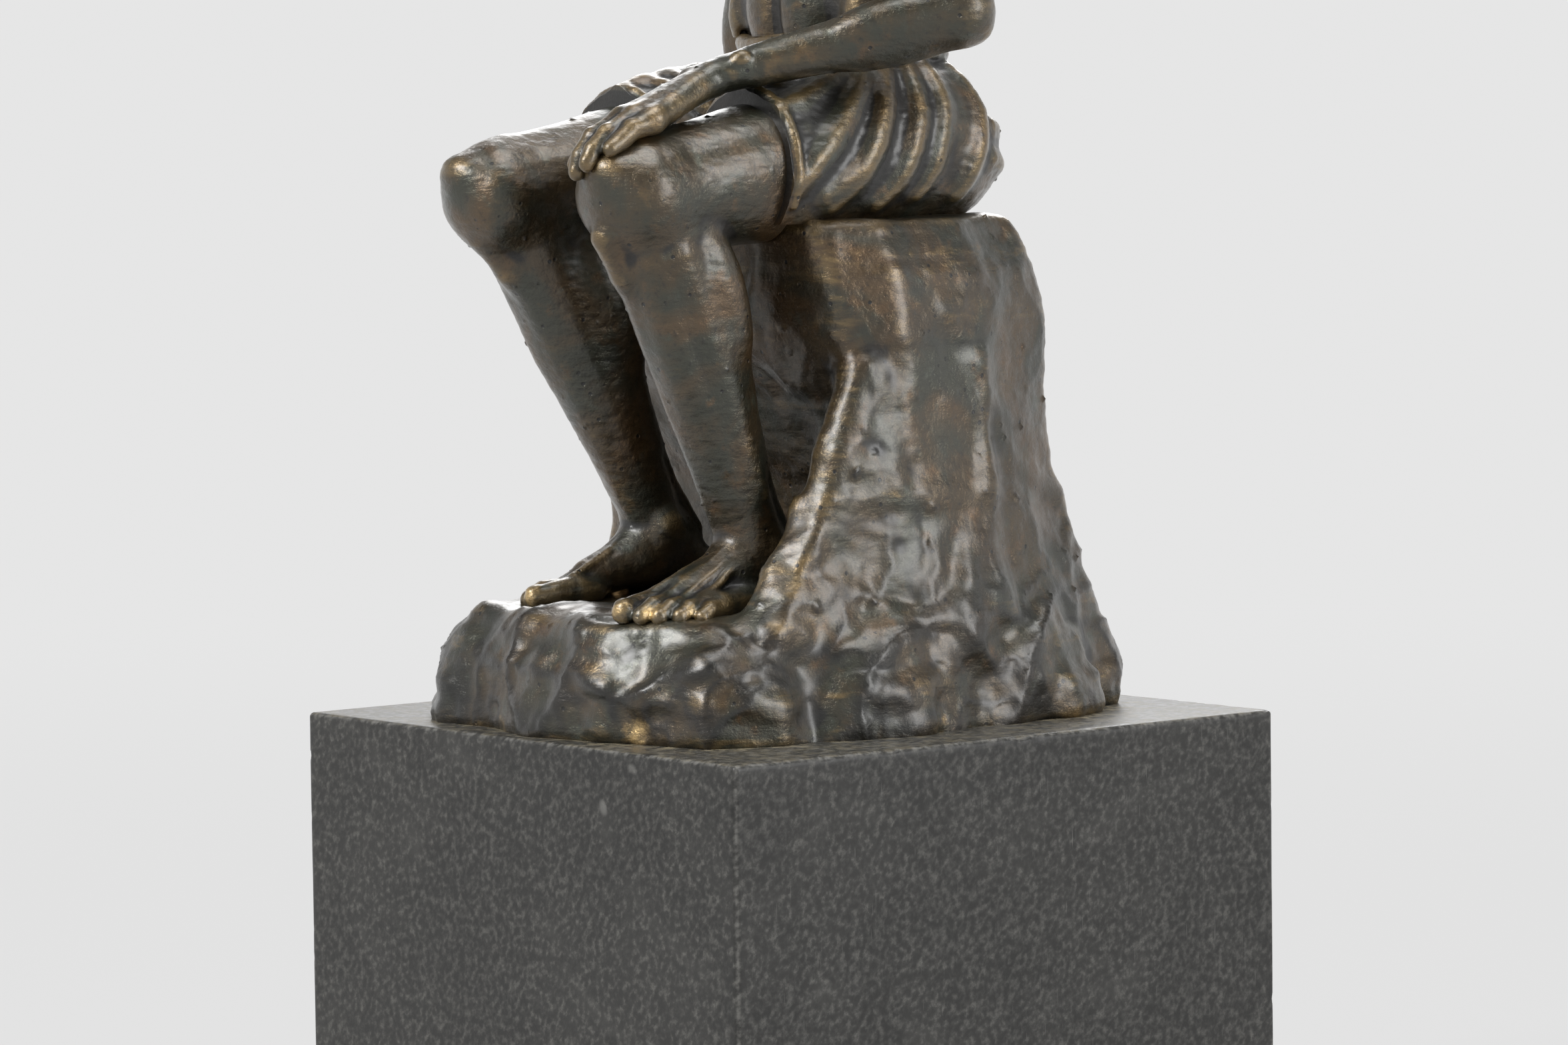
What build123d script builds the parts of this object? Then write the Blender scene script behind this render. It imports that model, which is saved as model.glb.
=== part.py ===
from build123d import *
import os
from math import cos, radians, sin

# Seated bronze figure on a rock, cast in sections and screwed to a square stone plinth.
# Millimetres. The origin is the middle of the underside, +Z is up and the figure faces -Y,
# so its own left hand is on the +X side.

# Stone plinth and the felt under it
PLINTH_WIDTH = 100.0
PLINTH_DEPTH = 100.0
PLINTH_HEIGHT = 80.0
PLINTH_ARRIS = 0.8
FELT_THICKNESS = 2.0
FELT_MARGIN = 3.0

# Screws that hold the bronze down, with their washers and the bar that they pull on
SCREW_DIAMETER = 5.0
SCREW_SPACING = 32.0
SCREW_CLEARANCE = 0.5
SCREW_TIP = 3.0
THREAD_PLAY = 0.05
HEX_ACROSS_FLATS = 8.0
HEX_THICKNESS = 3.5
PLAIN_WASHER_DIAMETER = 10.0
PLAIN_WASHER_THICKNESS = 1.0
SPRING_WASHER_DIAMETER = 8.8
SPRING_WASHER_THICKNESS = 1.3
SPRING_WASHER_SLIT = 1.0
SPANNER_CLEARANCE = 3.0
PLINTH_WEB = 36.0
BAR_WIDTH = 16.0
BAR_THICKNESS = 6.0
BAR_LIFT = 4.0
BAR_SETBACK = 20.0

# Rock, cast hollow: a seat boulder with a ledge for the feet in front of it
SEAT_HEIGHT = 72.0
LEDGE_HEIGHT = 16.0
ROCK_WALL = 4.0
ROCK_LEFT_REACH = 36.0
ROCK_RIGHT_REACH = 46.0
ROCK_BACK_REACH = 46.0
SEAT_FRONT_REACH = 17.0
LEDGE_FRONT_REACH = 46.0
LEDGE_LEFT_REACH = 35.0
LEDGE_RIGHT_REACH = 36.0
LEDGE_TAIL = 12.0
VENT_DIAMETER = 14.0
CORE_PLUG_DIAMETER = 5.0
CORE_PLUG_BAR_LENGTH = 24.0

# Figure: places of its joints. Rises are above the seat, advances before the middle, setbacks
# behind it; the ankles are measured from the ledge
HIP_SETBACK = 15.0
HIP_SPREAD = 12.0
HIP_RISE = 10.5
KNEE_SPREAD = 16.0
KNEE_RISE = 4.0
LEFT_KNEE_ADVANCE = 38.5
RIGHT_KNEE_ADVANCE = 36.0
ANKLE_SPREAD = 14.5
ANKLE_HEIGHT = 8.5
LEFT_ANKLE_ADVANCE = 17.0
RIGHT_ANKLE_ADVANCE = 11.0
WAIST_RISE = 26.0
WAIST_SETBACK = 12.0
SHOULDER_SETBACK = 7.0
TORSO_LENGTH = 53.0
SHOULDER_DROP = 14.0
NECK_SETBACK = 5.5
HEAD_LIFT = 17.5
HEAD_SETBACK = -1.0
HEAD_TILT = 16.0

# Figure: thicknesses and lengths, half sizes unless the name says otherwise
THIGH_RADIUS = 10.2
KNEE_RADIUS = 8.6
CALF_RADIUS = 8.0
FOOT_LENGTH = 33.0
FOOT_HALF_WIDTH = 6.4
INSTEP_HEIGHT = 9.6
HEEL_LENGTH = 8.0
FOOT_SPLAY = 9.0
HEM_OVERHANG = 1.0
WRAP_HALF_WIDTH = 26.4
WRAP_TOP = 21.0
PELVIS_HALF_WIDTH = 23.4
PELVIS_HALF_DEPTH = 16.4
WAISTBAND_HEIGHT = 3.4
WAISTBAND_PROUD = 2.2
WAIST_HALF_WIDTH = 17.0
WAIST_HALF_DEPTH = 11.4
CHEST_HALF_WIDTH = 24.5
CHEST_HALF_DEPTH = 13.6
CASTING_WALL = 3.0
NECK_HALF_WIDTH = 7.4
SHOULDER_FLAT = 5.0
SHOULDER_RADIUS = 8.8
UPPER_ARM_RADIUS = 6.9
ELBOW_RADIUS = 5.5
FOREARM_RADIUS = 5.6
HAND_HALF_WIDTH = 5.2
HAND_HALF_THICKNESS = 2.5
HEAD_HEIGHT = 29.0
HEAD_HALF_WIDTH = 10.6
HEAD_HALF_DEPTH = 12.0
EAR_HALF_HEIGHT = 3.4
EAR_HALF_WIDTH = 2.0
EAR_DEPTH = 2.4
LEFT_ELBOW_OUT = 33.0
LEFT_ELBOW_SETBACK = 6.0
LEFT_ELBOW_RISE = 28.5
LEFT_WRIST_SETBACK = 16.0
LEFT_WRIST_LIFT = 6.0
LEFT_PALM_LIFT = 0.6
RIGHT_ELBOW_OUT = 37.0
RIGHT_ELBOW_SETBACK = 28.0
RIGHT_ELBOW_RISE = 38.5
RIGHT_WRIST_OUT = 35.5
RIGHT_WRIST_SETBACK = 22.0
RIGHT_WRIST_RISE = 8.5
RIGHT_HAND_LENGTH = 24.0
RIGHT_HAND_PRESS = 0.6
FINGER_TURN_DEGREES = 62.0

# Dowels that pin the castings together, and the play they have in their holes
DOWEL_DIAMETER = 4.0
DOWEL_LENGTH = 11.0
SMALL_DOWEL_DIAMETER = 1.6
SMALL_DOWEL_LENGTH = 8.0
DOWEL_PLAY = 0.05

# How far a cutting tool runs past the metal that it cuts
OVERRUN = 1.0

# Heights and planes that several pieces share
PLINTH_TOP = FELT_THICKNESS + PLINTH_HEIGHT
SEAT = PLINTH_TOP + SEAT_HEIGHT
LEDGE = PLINTH_TOP + LEDGE_HEIGHT
WAIST = SEAT + WAIST_RISE
NECK = WAIST + TORSO_LENGTH
SHOULDERS = NECK - SHOULDER_DROP
SHOULDER_PLANE = CHEST_HALF_WIDTH - SHOULDER_FLAT
HEM_ADVANCE = SEAT_FRONT_REACH + HEM_OVERHANG
LEFT, RIGHT = 1, -1
HALF_TURN = 180
X_AXIS, Y_AXIS, Z_AXIS = Vector(1, 0, 0), Vector(0, 1, 0), Vector(0, 0, 1)

# Outline of the rock as shares of its reach to the right (-X) or left and the front (-Y) or back
ROCK_OUTLINE_SHARES = (
    (0.42, -1.0), (0.86, -0.80), (1.0, -0.22), (0.93, 0.40), (0.74, 0.86),
    (0.20, 1.0), (-0.38, 0.95), (-0.82, 0.80), (-1.0, 0.30), (-0.92, -0.42),
    (-0.72, -0.88), (-0.20, -0.96),
)
# Levels of the boulder: height, left, right, front and back reach as shares; the front draws back
# low down, where the heels need room
BOULDER_LEVEL_SHARES = (
    (0.0, 1.0, 1.0, 0.04, 1.0),
    (0.22, 0.97, 0.98, 0.05, 0.935),
    (0.37, 0.92, 0.96, 0.08, 0.86),
    (0.48, 0.875, 0.95, 0.16, 0.795),
    (0.66, 0.865, 0.96, 0.55, 0.775),
    (0.80, 0.86, 0.975, 0.82, 0.77),
    (0.90, 0.83, 0.98, 0.93, 0.745),
    (1.0, 0.74, 0.93, 1.0, 0.64),
)
LEDGE_LEVEL_SHARES = (
    (0.0, 1.0, 1.0, 1.0),
    (0.55, 0.96, 0.95, 0.97),
    (1.0, 0.87, 0.88, 0.93),
)
# Flank that rises from the ledge to the boulder outside the left foot: each level's height as a
# share of the seat's, then its corners as shares of the ledge's reach to the left and the front
FLANK_LEVEL_SHARES = (
    (0.0, ((0.55, 0.84), (0.95, 0.76), (1.0, 0.10), (0.98, -0.28), (0.50, -0.28))),
    (0.22, ((0.74, 0.66), (0.93, 0.60), (0.97, 0.10), (0.94, -0.28), (0.50, -0.28))),
    (0.46, ((0.76, 0.40), (0.87, 0.38), (0.92, 0.10), (0.90, -0.28), (0.50, -0.28))),
    (0.72, ((0.79, 0.22), (0.83, 0.21), (0.87, 0.08), (0.86, -0.28), (0.50, -0.28))),
)

# Clods round the foot of the rock: their outline, their levels as height and size, then each
# clod's place to the left and the front, half width, half depth and height, as shares of the ledge's
CLOD_OUTLINE_SHARES = (
    (1.0, 0.25), (0.55, 0.9), (-0.3, 1.0), (-0.95, 0.5), (-0.9, -0.45), (-0.2, -1.0), (0.7, -0.75),
)
CLOD_LEVEL_SHARES = ((0.0, 1.0), (0.4, 0.90), (0.75, 0.70), (1.0, 0.42))
CLOD_PLACE_SHARES = (
    (0.62, 0.70, 0.32, 0.26, 0.92), (0.02, 0.80, 0.34, 0.20, 0.78), (-0.58, 0.70, 0.30, 0.26, 0.95),
    (-0.90, 0.30, 0.20, 0.34, 0.80), (0.82, 0.22, 0.22, 0.32, 1.0), (0.82, -0.42, 0.20, 0.32, 0.90),
    (0.60, -0.74, 0.22, 0.18, 0.85), (-0.30, -0.82, 0.34, 0.20, 0.80),
)

# Sections of the figure, as shares of the sizes above, in the order that each function names
SHOULDER_OFFSET_SHARE = 0.36
PLUG_HEIGHT_SHARE = 0.425
PLUG_REACH_SHARE = 0.9
HALF_SHARE = 0.5
LAP_PROFILE_SHARES = ((0.86, 0.0), (1.0, 0.45), (0.60, 1.0))
LAP_STATION_SHARES = (
    (0.0, 0.90, 1.0, 0.90), (0.45, 1.0, 1.0, 0.78), (0.75, 0.99, 0.95, 0.66), (1.0, 0.97, 0.85, 0.54),
)
WAISTBAND_LEVEL_SHARES = ((1.0, 0.55), (0.7, 1.0), (0.25, 1.0), (0.0, 0.65))
PELVIS_LEVEL_SHARES = ((0.0, 0.93, 0.92), (0.4, 1.0, 1.0), (0.76, 0.83, 0.86))
TORSO_LEVEL_SHARES = (
    (0.20, 0.69, 0.86, 0.01), (0.42, 0.76, 0.95, 0.03), (0.62, 0.97, 0.95, 0.05),
    (0.78, 1.0, 0.80, 0.14), (0.90, 0.74, 0.68, 0.08),
)
PECTORAL_STATION_SHARES = (
    (0.06, 0.60, 0.70, 0.060, 0.12), (0.30, 0.60, 0.64, 0.110, 0.26),
    (0.55, 0.62, 0.50, 0.115, 0.30), (0.74, 0.66, 0.30, 0.085, 0.22),
)
SHOULDER_BLADE_STATION_SHARES = (
    (0.40, 0.50, 0.70, 0.14, 0.14), (0.42, 0.62, 0.74, 0.27, 0.23),
    (0.42, 0.74, 0.70, 0.28, 0.24), (0.42, 0.85, 0.54, 0.18, 0.18),
)
TORSO_HOLLOW_SHARES = ((0.42, 0.92, 0.92), (0.66, 0.86, 0.86))
SKULL_LEVEL_SHARES = (
    (0.0, 0.36, 0.26, 0.52), (0.10, 0.62, 0.52, 0.30), (0.25, 0.82, 0.74, 0.12),
    (0.45, 0.93, 0.90, 0.02), (0.62, 1.0, 1.0, -0.05), (0.80, 0.94, 0.93, -0.08),
    (0.93, 0.64, 0.64, -0.08), (1.0, 0.20, 0.20, -0.08),
)
NOSE_LEVEL_SHARES = ((0.32, 0.20, 0.22, 0.86), (0.45, 0.13, 0.16, 0.88), (0.56, 0.09, 0.08, 0.90))
NAPE_PLACE_SHARES = (0.30, -0.22)
NAPE_SHARE = 0.95
EAR_PLACE_SHARES = (0.44, -0.08)
EAR_ROOT_SHARE = 0.85
THIGH_STATION_SHARES = ((0.45, 1.10, 1.10), (0.8, 0.99, 1.0), (1.0, 0.93, 0.94))
SHANK_STATION_SHARES = (
    (0.0, 0.93, 0.98), (0.14, 0.90, 0.99), (0.32, 0.98, 1.08), (0.55, 0.80, 0.90),
    (0.80, 0.58, 0.66), (1.0, 0.56, 0.66),
)
FOOT_STATION_SHARES = (
    (0.0, 0.42, 0.34), (0.06, 0.62, 0.62), (0.22, 0.72, 0.96), (0.42, 0.80, 0.96),
    (0.60, 0.92, 0.68), (0.76, 1.0, 0.46), (0.91, 0.92, 0.31), (1.0, 0.68, 0.18),
)
UPPER_ARM_STATION_SHARES = (
    (0.0, 0.98, 1.05), (0.30, 0.99, 1.06), (0.60, 0.95, 1.0), (0.85, 0.80, 0.84), (1.0, 0.76, 0.78),
)
FOREARM_STATION_SHARES = (
    (0.0, 0.90, 0.92), (0.22, 1.05, 1.0), (0.50, 0.92, 0.86), (0.80, 0.76, 0.64), (1.0, 0.76, 0.60),
)
HAND_WRIST_SHARES = (0.80, 1.30)
HAND_PALM_SHARES = (1.0, 1.15)
# Fingers over the knee: share of their turn round it, then of the hand's width and thickness
LEFT_FINGER_SHARES = ((0.13, 1.02, 1.0), (0.58, 0.96, 0.82), (1.0, 0.80, 0.60))
# Right hand: share of its length, share of the drop to the seat, slope, width and thickness
RIGHT_HAND_SHARES = (
    (0.0, 0.0, 1.2, 0.80, 1.35), (0.30, 0.78, 0.45, 0.96, 1.2), (0.58, 0.98, 0.08, 1.02, 1.0),
    (0.80, 1.0, 0.0, 0.95, 0.84), (1.0, 1.08, 0.0, 0.74, 0.60),
)


def along(start, end, share):
    """Point that lies a share of the way from start to end."""
    return start + (end - start) * share


def ring(centre, axis, across, half_width, half_depth):
    """One elliptical section of a limb, square to axis, its width measured along across."""
    level = across - axis * across.dot(axis)
    with BuildSketch(Plane(centre, x_dir=level, z_dir=axis)) as section:
        Ellipse(half_width, half_depth)
    return section.sketch


def limb(start, end, radius, station_shares):
    """Loft along a straight bone; each station is its place, width and depth as shares."""
    axis = (end - start).normalized()
    loft([
        ring(along(start, end, place), axis, X_AXIS, radius * width, radius * depth)
        for place, width, depth in station_shares
    ])


def dowel(centre, direction, diameter, length, play=0.0, mode=Mode.ADD):
    """Round pin, or with play and Mode.SUBTRACT its hole, halfway through a joint plane."""
    with Locations(Plane(centre, z_dir=direction).location):
        Cylinder(diameter / 2 + play, length + play, mode=mode)


# Stone plinth: two clearance holes, bored wide from below so that short screws reach the bronze
SCREW_PLACES = [(side * SCREW_SPACING / 2, BAR_SETBACK) for side in (LEFT, RIGHT)]
COUNTERBORE_DIAMETER = PLAIN_WASHER_DIAMETER + 2 * SPANNER_CLEARANCE
COUNTERBORE_DEPTH = PLINTH_HEIGHT - PLINTH_WEB
with BuildPart() as plinth:
    with BuildSketch(Plane.XY.offset(FELT_THICKNESS)):
        Rectangle(PLINTH_WIDTH, PLINTH_DEPTH)
    extrude(amount=PLINTH_HEIGHT)
    chamfer(plinth.edges(), PLINTH_ARRIS)
    with BuildSketch(Plane.XY.offset(FELT_THICKNESS)):
        with Locations(*SCREW_PLACES):
            Circle(SCREW_DIAMETER / 2 + SCREW_CLEARANCE)
    extrude(amount=PLINTH_HEIGHT, mode=Mode.SUBTRACT)
    with BuildSketch(Plane.XY.offset(FELT_THICKNESS)):
        with Locations(*SCREW_PLACES):
            Circle(COUNTERBORE_DIAMETER / 2)
    extrude(amount=COUNTERBORE_DEPTH, mode=Mode.SUBTRACT)

# Felt pad glued under the stone, closed over the screw wells
with BuildPart() as felt_pad:
    with BuildSketch():
        Rectangle(PLINTH_WIDTH - 2 * FELT_MARGIN, PLINTH_DEPTH - 2 * FELT_MARGIN)
    extrude(amount=FELT_THICKNESS)

# Washers and screws, from the shoulder of the counterbore downwards
SHOULDER_OF_BORE = FELT_THICKNESS + COUNTERBORE_DEPTH
PLAIN_WASHER_UNDER = SHOULDER_OF_BORE - PLAIN_WASHER_THICKNESS
SPRING_WASHER_UNDER = PLAIN_WASHER_UNDER - SPRING_WASHER_THICKNESS
BAR_UNDER = PLINTH_TOP + BAR_LIFT
SCREW_LENGTH = BAR_UNDER + BAR_THICKNESS + SCREW_TIP - SPRING_WASHER_UNDER
WASHER_HOLE_RADIUS = SCREW_DIAMETER / 2 + SCREW_CLEARANCE / 2
with BuildPart() as plain_washers:
    with BuildSketch(Plane.XY.offset(PLAIN_WASHER_UNDER)):
        with Locations(*SCREW_PLACES):
            Circle(PLAIN_WASHER_DIAMETER / 2)
            Circle(WASHER_HOLE_RADIUS, mode=Mode.SUBTRACT)
    extrude(amount=PLAIN_WASHER_THICKNESS)

with BuildPart() as spring_washers:
    with BuildSketch(Plane.XY.offset(SPRING_WASHER_UNDER)):
        with Locations(*SCREW_PLACES):
            Circle(SPRING_WASHER_DIAMETER / 2)
            Circle(WASHER_HOLE_RADIUS, mode=Mode.SUBTRACT)
            Rectangle(
                SPRING_WASHER_DIAMETER, SPRING_WASHER_SLIT,
                align=(Align.MIN, Align.CENTER), mode=Mode.SUBTRACT,
            )
    extrude(amount=SPRING_WASHER_THICKNESS)

with BuildPart() as fixing_screws:
    with BuildSketch(Plane.XY.offset(SPRING_WASHER_UNDER - HEX_THICKNESS)):
        with Locations(*SCREW_PLACES):
            RegularPolygon(HEX_ACROSS_FLATS / 2, 6, major_radius=False)
    extrude(amount=HEX_THICKNESS)
    with BuildSketch(Plane.XY.offset(SPRING_WASHER_UNDER)):
        with Locations(*SCREW_PLACES):
            Circle(SCREW_DIAMETER / 2)
    extrude(amount=SCREW_LENGTH)


# Rock casting
def rock_section(height, left, right, front, back):
    """One level of the rock: its outline stretched to the reach on each of its four sides."""
    points = []
    for x_share, y_share in ROCK_OUTLINE_SHARES:
        x = x_share * (left if x_share > 0 else right)
        y = y_share * (back if y_share > 0 else front)
        points.append((x, y))
    with BuildSketch(Plane.XY.offset(height)) as section:
        Polygon(*points, align=None)
    return section.sketch


def boulder(wall, mode):
    """Seat boulder, drawn in by wall on every side but the underside."""
    levels = [
        rock_section(
            PLINTH_TOP + (SEAT_HEIGHT - wall) * height,
            ROCK_LEFT_REACH * left - wall,
            ROCK_RIGHT_REACH * right - wall,
            SEAT_FRONT_REACH * front - wall,
            ROCK_BACK_REACH * back - wall,
        )
        for height, left, right, front, back in BOULDER_LEVEL_SHARES
    ]
    loft(levels, ruled=True, mode=mode)


def ledge(wall, mode):
    """Ledge under the feet, which runs back into the boulder."""
    levels = [
        rock_section(
            PLINTH_TOP + (LEDGE_HEIGHT - wall) * height,
            LEDGE_LEFT_REACH * left - wall,
            LEDGE_RIGHT_REACH * right - wall,
            LEDGE_FRONT_REACH * front - wall,
            LEDGE_TAIL + wall,
        )
        for height, left, right, front in LEDGE_LEVEL_SHARES
    ]
    loft(levels, ruled=True, mode=mode)


def flank(mode):
    """Solid flank of the rock beside the left foot, which closes the step behind the ledge."""
    levels = []
    for height, corners in FLANK_LEVEL_SHARES:
        points = [(x * LEDGE_LEFT_REACH, -y * LEDGE_FRONT_REACH) for x, y in corners]
        with BuildSketch(Plane.XY.offset(PLINTH_TOP + SEAT_HEIGHT * height)) as section:
            Polygon(*points, align=None)
        levels.append(section.sketch)
    loft(levels, ruled=True, mode=mode)


def clods():
    """Clods round the foot of the rock, each a stack of polygons."""
    for left, front, width, depth, rise in CLOD_PLACE_SHARES:
        middle_x = left * (LEDGE_LEFT_REACH if left > 0 else LEDGE_RIGHT_REACH)
        middle_y = -front * LEDGE_FRONT_REACH
        levels = []
        for height, size in CLOD_LEVEL_SHARES:
            points = [
                (
                    middle_x + LEDGE_FRONT_REACH * width * size * x,
                    middle_y + LEDGE_FRONT_REACH * depth * size * y,
                )
                for x, y in CLOD_OUTLINE_SHARES
            ]
            with BuildSketch(Plane.XY.offset(PLINTH_TOP + LEDGE_HEIGHT * rise * height)) as section:
                Polygon(*points, align=None)
            levels.append(section.sketch)
        loft(levels, ruled=True)


# Places in the figure that several castings share
def hip(side):
    """Hip joint on one side."""
    return Vector(side * HIP_SPREAD, HIP_SETBACK, SEAT + HIP_RISE)


def knee(side):
    """Knee joint on one side; the left knee is a little further forward."""
    advance = LEFT_KNEE_ADVANCE if side == LEFT else RIGHT_KNEE_ADVANCE
    return Vector(side * KNEE_SPREAD, -advance, SEAT + KNEE_RISE)


def ankle(side):
    """Ankle joint on one side; the right foot is drawn back."""
    advance = LEFT_ANKLE_ADVANCE if side == LEFT else RIGHT_ANKLE_ADVANCE
    return Vector(side * ANKLE_SPREAD, -advance, LEDGE + ANKLE_HEIGHT)


def hem(side):
    """Middle of the thigh where it comes out of the wrap, on the plane of the hem."""
    share = (HIP_SETBACK + HEM_ADVANCE) / (HIP_SETBACK - knee(side).Y)
    return along(hip(side), knee(side), share)


def toe_direction(side):
    """Level direction in which one foot points."""
    return Vector(side * sin(radians(FOOT_SPLAY)), -cos(radians(FOOT_SPLAY)), 0)


def sole(side):
    """Point under one instep, on the ledge."""
    under_ankle = Vector(ankle(side).X, ankle(side).Y, LEDGE)
    return under_ankle + toe_direction(side) * HEEL_LENGTH


def shoulder(side):
    """Middle of one shoulder, just outside the plane where the arm is joined on."""
    return Vector(
        side * (SHOULDER_PLANE + SHOULDER_RADIUS * SHOULDER_OFFSET_SHARE),
        SHOULDER_SETBACK,
        SHOULDERS,
    )


WAIST_CENTRE = Vector(0, WAIST_SETBACK, WAIST)
NECK_CENTRE = Vector(0, NECK_SETBACK, NECK)
WAIST_DOWEL_PLACES = [
    WAIST_CENTRE + X_AXIS * side * (WAIST_HALF_WIDTH - CASTING_WALL / 2) for side in (LEFT, RIGHT)
]
SEAT_DOWEL_PLACES = [
    Vector(side * HIP_SPREAD, HIP_SETBACK - PELVIS_HALF_DEPTH - DOWEL_DIAMETER, SEAT)
    for side in (LEFT, RIGHT)
]
SHOULDER_DOWEL_PLACES = [
    Vector(side * SHOULDER_PLANE, SHOULDER_SETBACK, SHOULDERS) for side in (LEFT, RIGHT)
]
PLUG_HEIGHT = PLINTH_TOP + SEAT_HEIGHT * PLUG_HEIGHT_SHARE
CORE_PLUG_PLACES = [
    (Vector(0, ROCK_BACK_REACH * PLUG_REACH_SHARE, PLUG_HEIGHT), Y_AXIS),
    (Vector(ROCK_LEFT_REACH * PLUG_REACH_SHARE, BAR_SETBACK, PLUG_HEIGHT), X_AXIS),
    (Vector(-ROCK_RIGHT_REACH * PLUG_REACH_SHARE, BAR_SETBACK, PLUG_HEIGHT), X_AXIS),
]


def core_plug_bars(mode):
    """Round bars through the rock's wall where the core pins of the mould were drawn out."""
    for place, direction in CORE_PLUG_PLACES:
        dowel(place, direction, CORE_PLUG_DIAMETER, CORE_PLUG_BAR_LENGTH, mode=mode)


with BuildPart() as rock_casting:
    boulder(0, Mode.ADD)
    ledge(0, Mode.ADD)
    flank(Mode.ADD)
    clods()
    boulder(ROCK_WALL, Mode.SUBTRACT)
    ledge(ROCK_WALL, Mode.SUBTRACT)
    with Locations(Vector(0, HIP_SETBACK, SEAT)):
        Cylinder(VENT_DIAMETER / 2, ROCK_WALL * 2 + OVERRUN, mode=Mode.SUBTRACT)
    for place in SEAT_DOWEL_PLACES:
        dowel(place, Z_AXIS, DOWEL_DIAMETER, DOWEL_LENGTH, DOWEL_PLAY, Mode.SUBTRACT)
    for side in (LEFT, RIGHT):
        dowel(sole(side), Z_AXIS, DOWEL_DIAMETER, DOWEL_LENGTH, DOWEL_PLAY, Mode.SUBTRACT)

# Plugs in the core pin holes, chased flush with the wall on both faces
with BuildPart() as core_plugs:
    core_plug_bars(Mode.ADD)
    add(rock_casting.part, mode=Mode.INTERSECT)

with rock_casting:
    core_plug_bars(Mode.SUBTRACT)

# Bar brazed across the hollow of the rock, tapped for the two screws
with BuildPart() as fixing_bar:
    boulder(ROCK_WALL, Mode.ADD)
    ledge(ROCK_WALL, Mode.ADD)
    with Locations(Vector(0, BAR_SETBACK, BAR_UNDER + BAR_THICKNESS / 2)):
        Box(2 * ROCK_RIGHT_REACH, BAR_WIDTH, BAR_THICKNESS, mode=Mode.INTERSECT)
    with Locations(*[Vector(x, y, BAR_UNDER + BAR_THICKNESS / 2) for x, y in SCREW_PLACES]):
        Cylinder(SCREW_DIAMETER / 2 + THREAD_PLAY, BAR_THICKNESS + OVERRUN, mode=Mode.SUBTRACT)


# Wrap casting: pelvis and lap in a cloth that ends at the hem, open to the rock and the torso
def lap_section(advance, width, top, dip):
    """Section of the lap across both thighs, flat on the seat and dipped between the thighs."""
    half_width = WRAP_HALF_WIDTH * width
    height = WRAP_TOP * top
    right_half = [(half_width * x, height * z) for x, z in LAP_PROFILE_SHARES]
    left_half = [(-x, z) for x, z in reversed(right_half)]
    lowest = [(0, height * dip)]
    with BuildSketch(Plane((0, -advance, SEAT), x_dir=X_AXIS, z_dir=-Y_AXIS)) as section:
        with BuildLine():
            Spline(right_half + lowest + left_half)
            Line(left_half[-1], right_half[0])
        make_face()
    return section.sketch


def pelvis_section(rise, width, depth, wall):
    """Level section of the pelvis, drawn in by wall."""
    setback = HIP_SETBACK + (WAIST_SETBACK - HIP_SETBACK) * rise
    centre = Vector(0, setback, SEAT + WAIST_RISE * rise)
    return ring(centre, Z_AXIS, X_AXIS, width - wall, depth - wall)


def pelvis(wall, mode):
    """Pelvis from the seat to the waist, drawn in by wall."""
    levels = [
        pelvis_section(rise, PELVIS_HALF_WIDTH * width, PELVIS_HALF_DEPTH * depth, wall)
        for rise, width, depth in PELVIS_LEVEL_SHARES
    ]
    levels.append(pelvis_section(1, WAIST_HALF_WIDTH, WAIST_HALF_DEPTH, wall))
    loft(levels, mode=mode)


with BuildPart() as wrap_casting:
    loft([
        lap_section((HEM_ADVANCE + HIP_SETBACK) * place - HIP_SETBACK, width, top, dip)
        for place, width, top, dip in LAP_STATION_SHARES
    ])
    pelvis(0, Mode.ADD)
    loft([
        ring(
            WAIST_CENTRE - Z_AXIS * WAISTBAND_HEIGHT * drop, Z_AXIS, X_AXIS,
            WAIST_HALF_WIDTH + WAISTBAND_PROUD * proud,
            WAIST_HALF_DEPTH + WAISTBAND_PROUD * proud,
        )
        for drop, proud in WAISTBAND_LEVEL_SHARES
    ])
    pelvis(CASTING_WALL, Mode.SUBTRACT)
    for place in WAIST_DOWEL_PLACES:
        dowel(place, Z_AXIS, SMALL_DOWEL_DIAMETER, SMALL_DOWEL_LENGTH, DOWEL_PLAY, Mode.SUBTRACT)
    for place in SEAT_DOWEL_PLACES:
        dowel(place, Z_AXIS, DOWEL_DIAMETER, DOWEL_LENGTH, DOWEL_PLAY, Mode.SUBTRACT)
    for side in (LEFT, RIGHT):
        dowel(hem(side), Y_AXIS, DOWEL_DIAMETER, DOWEL_LENGTH, DOWEL_PLAY, Mode.SUBTRACT)


# Torso casting: hollow from the waist to the chest, with a flat on each side for an arm
def torso_section(rise, half_width, half_depth, setback=0):
    """Level section of the torso, a share of the way up from the waist to the neck."""
    centre = along(WAIST_CENTRE, NECK_CENTRE, rise) + Y_AXIS * setback
    return ring(centre, Z_AXIS, X_AXIS, half_width, half_depth)


def chest_point(across, rise, forward):
    """Point of the chest, in shares of its half width, the torso's length and its half depth."""
    spine = along(WAIST_CENTRE, NECK_CENTRE, rise)
    return spine + X_AXIS * CHEST_HALF_WIDTH * across - Y_AXIS * CHEST_HALF_DEPTH * forward


def pectoral(side):
    """Chest muscle on one side, lofted outwards from the breastbone."""
    loft([
        ring(
            chest_point(side * across, rise, forward), X_AXIS * side, Z_AXIS,
            TORSO_LENGTH * height, CHEST_HALF_DEPTH * depth,
        )
        for across, rise, forward, height, depth in PECTORAL_STATION_SHARES
    ])


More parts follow.
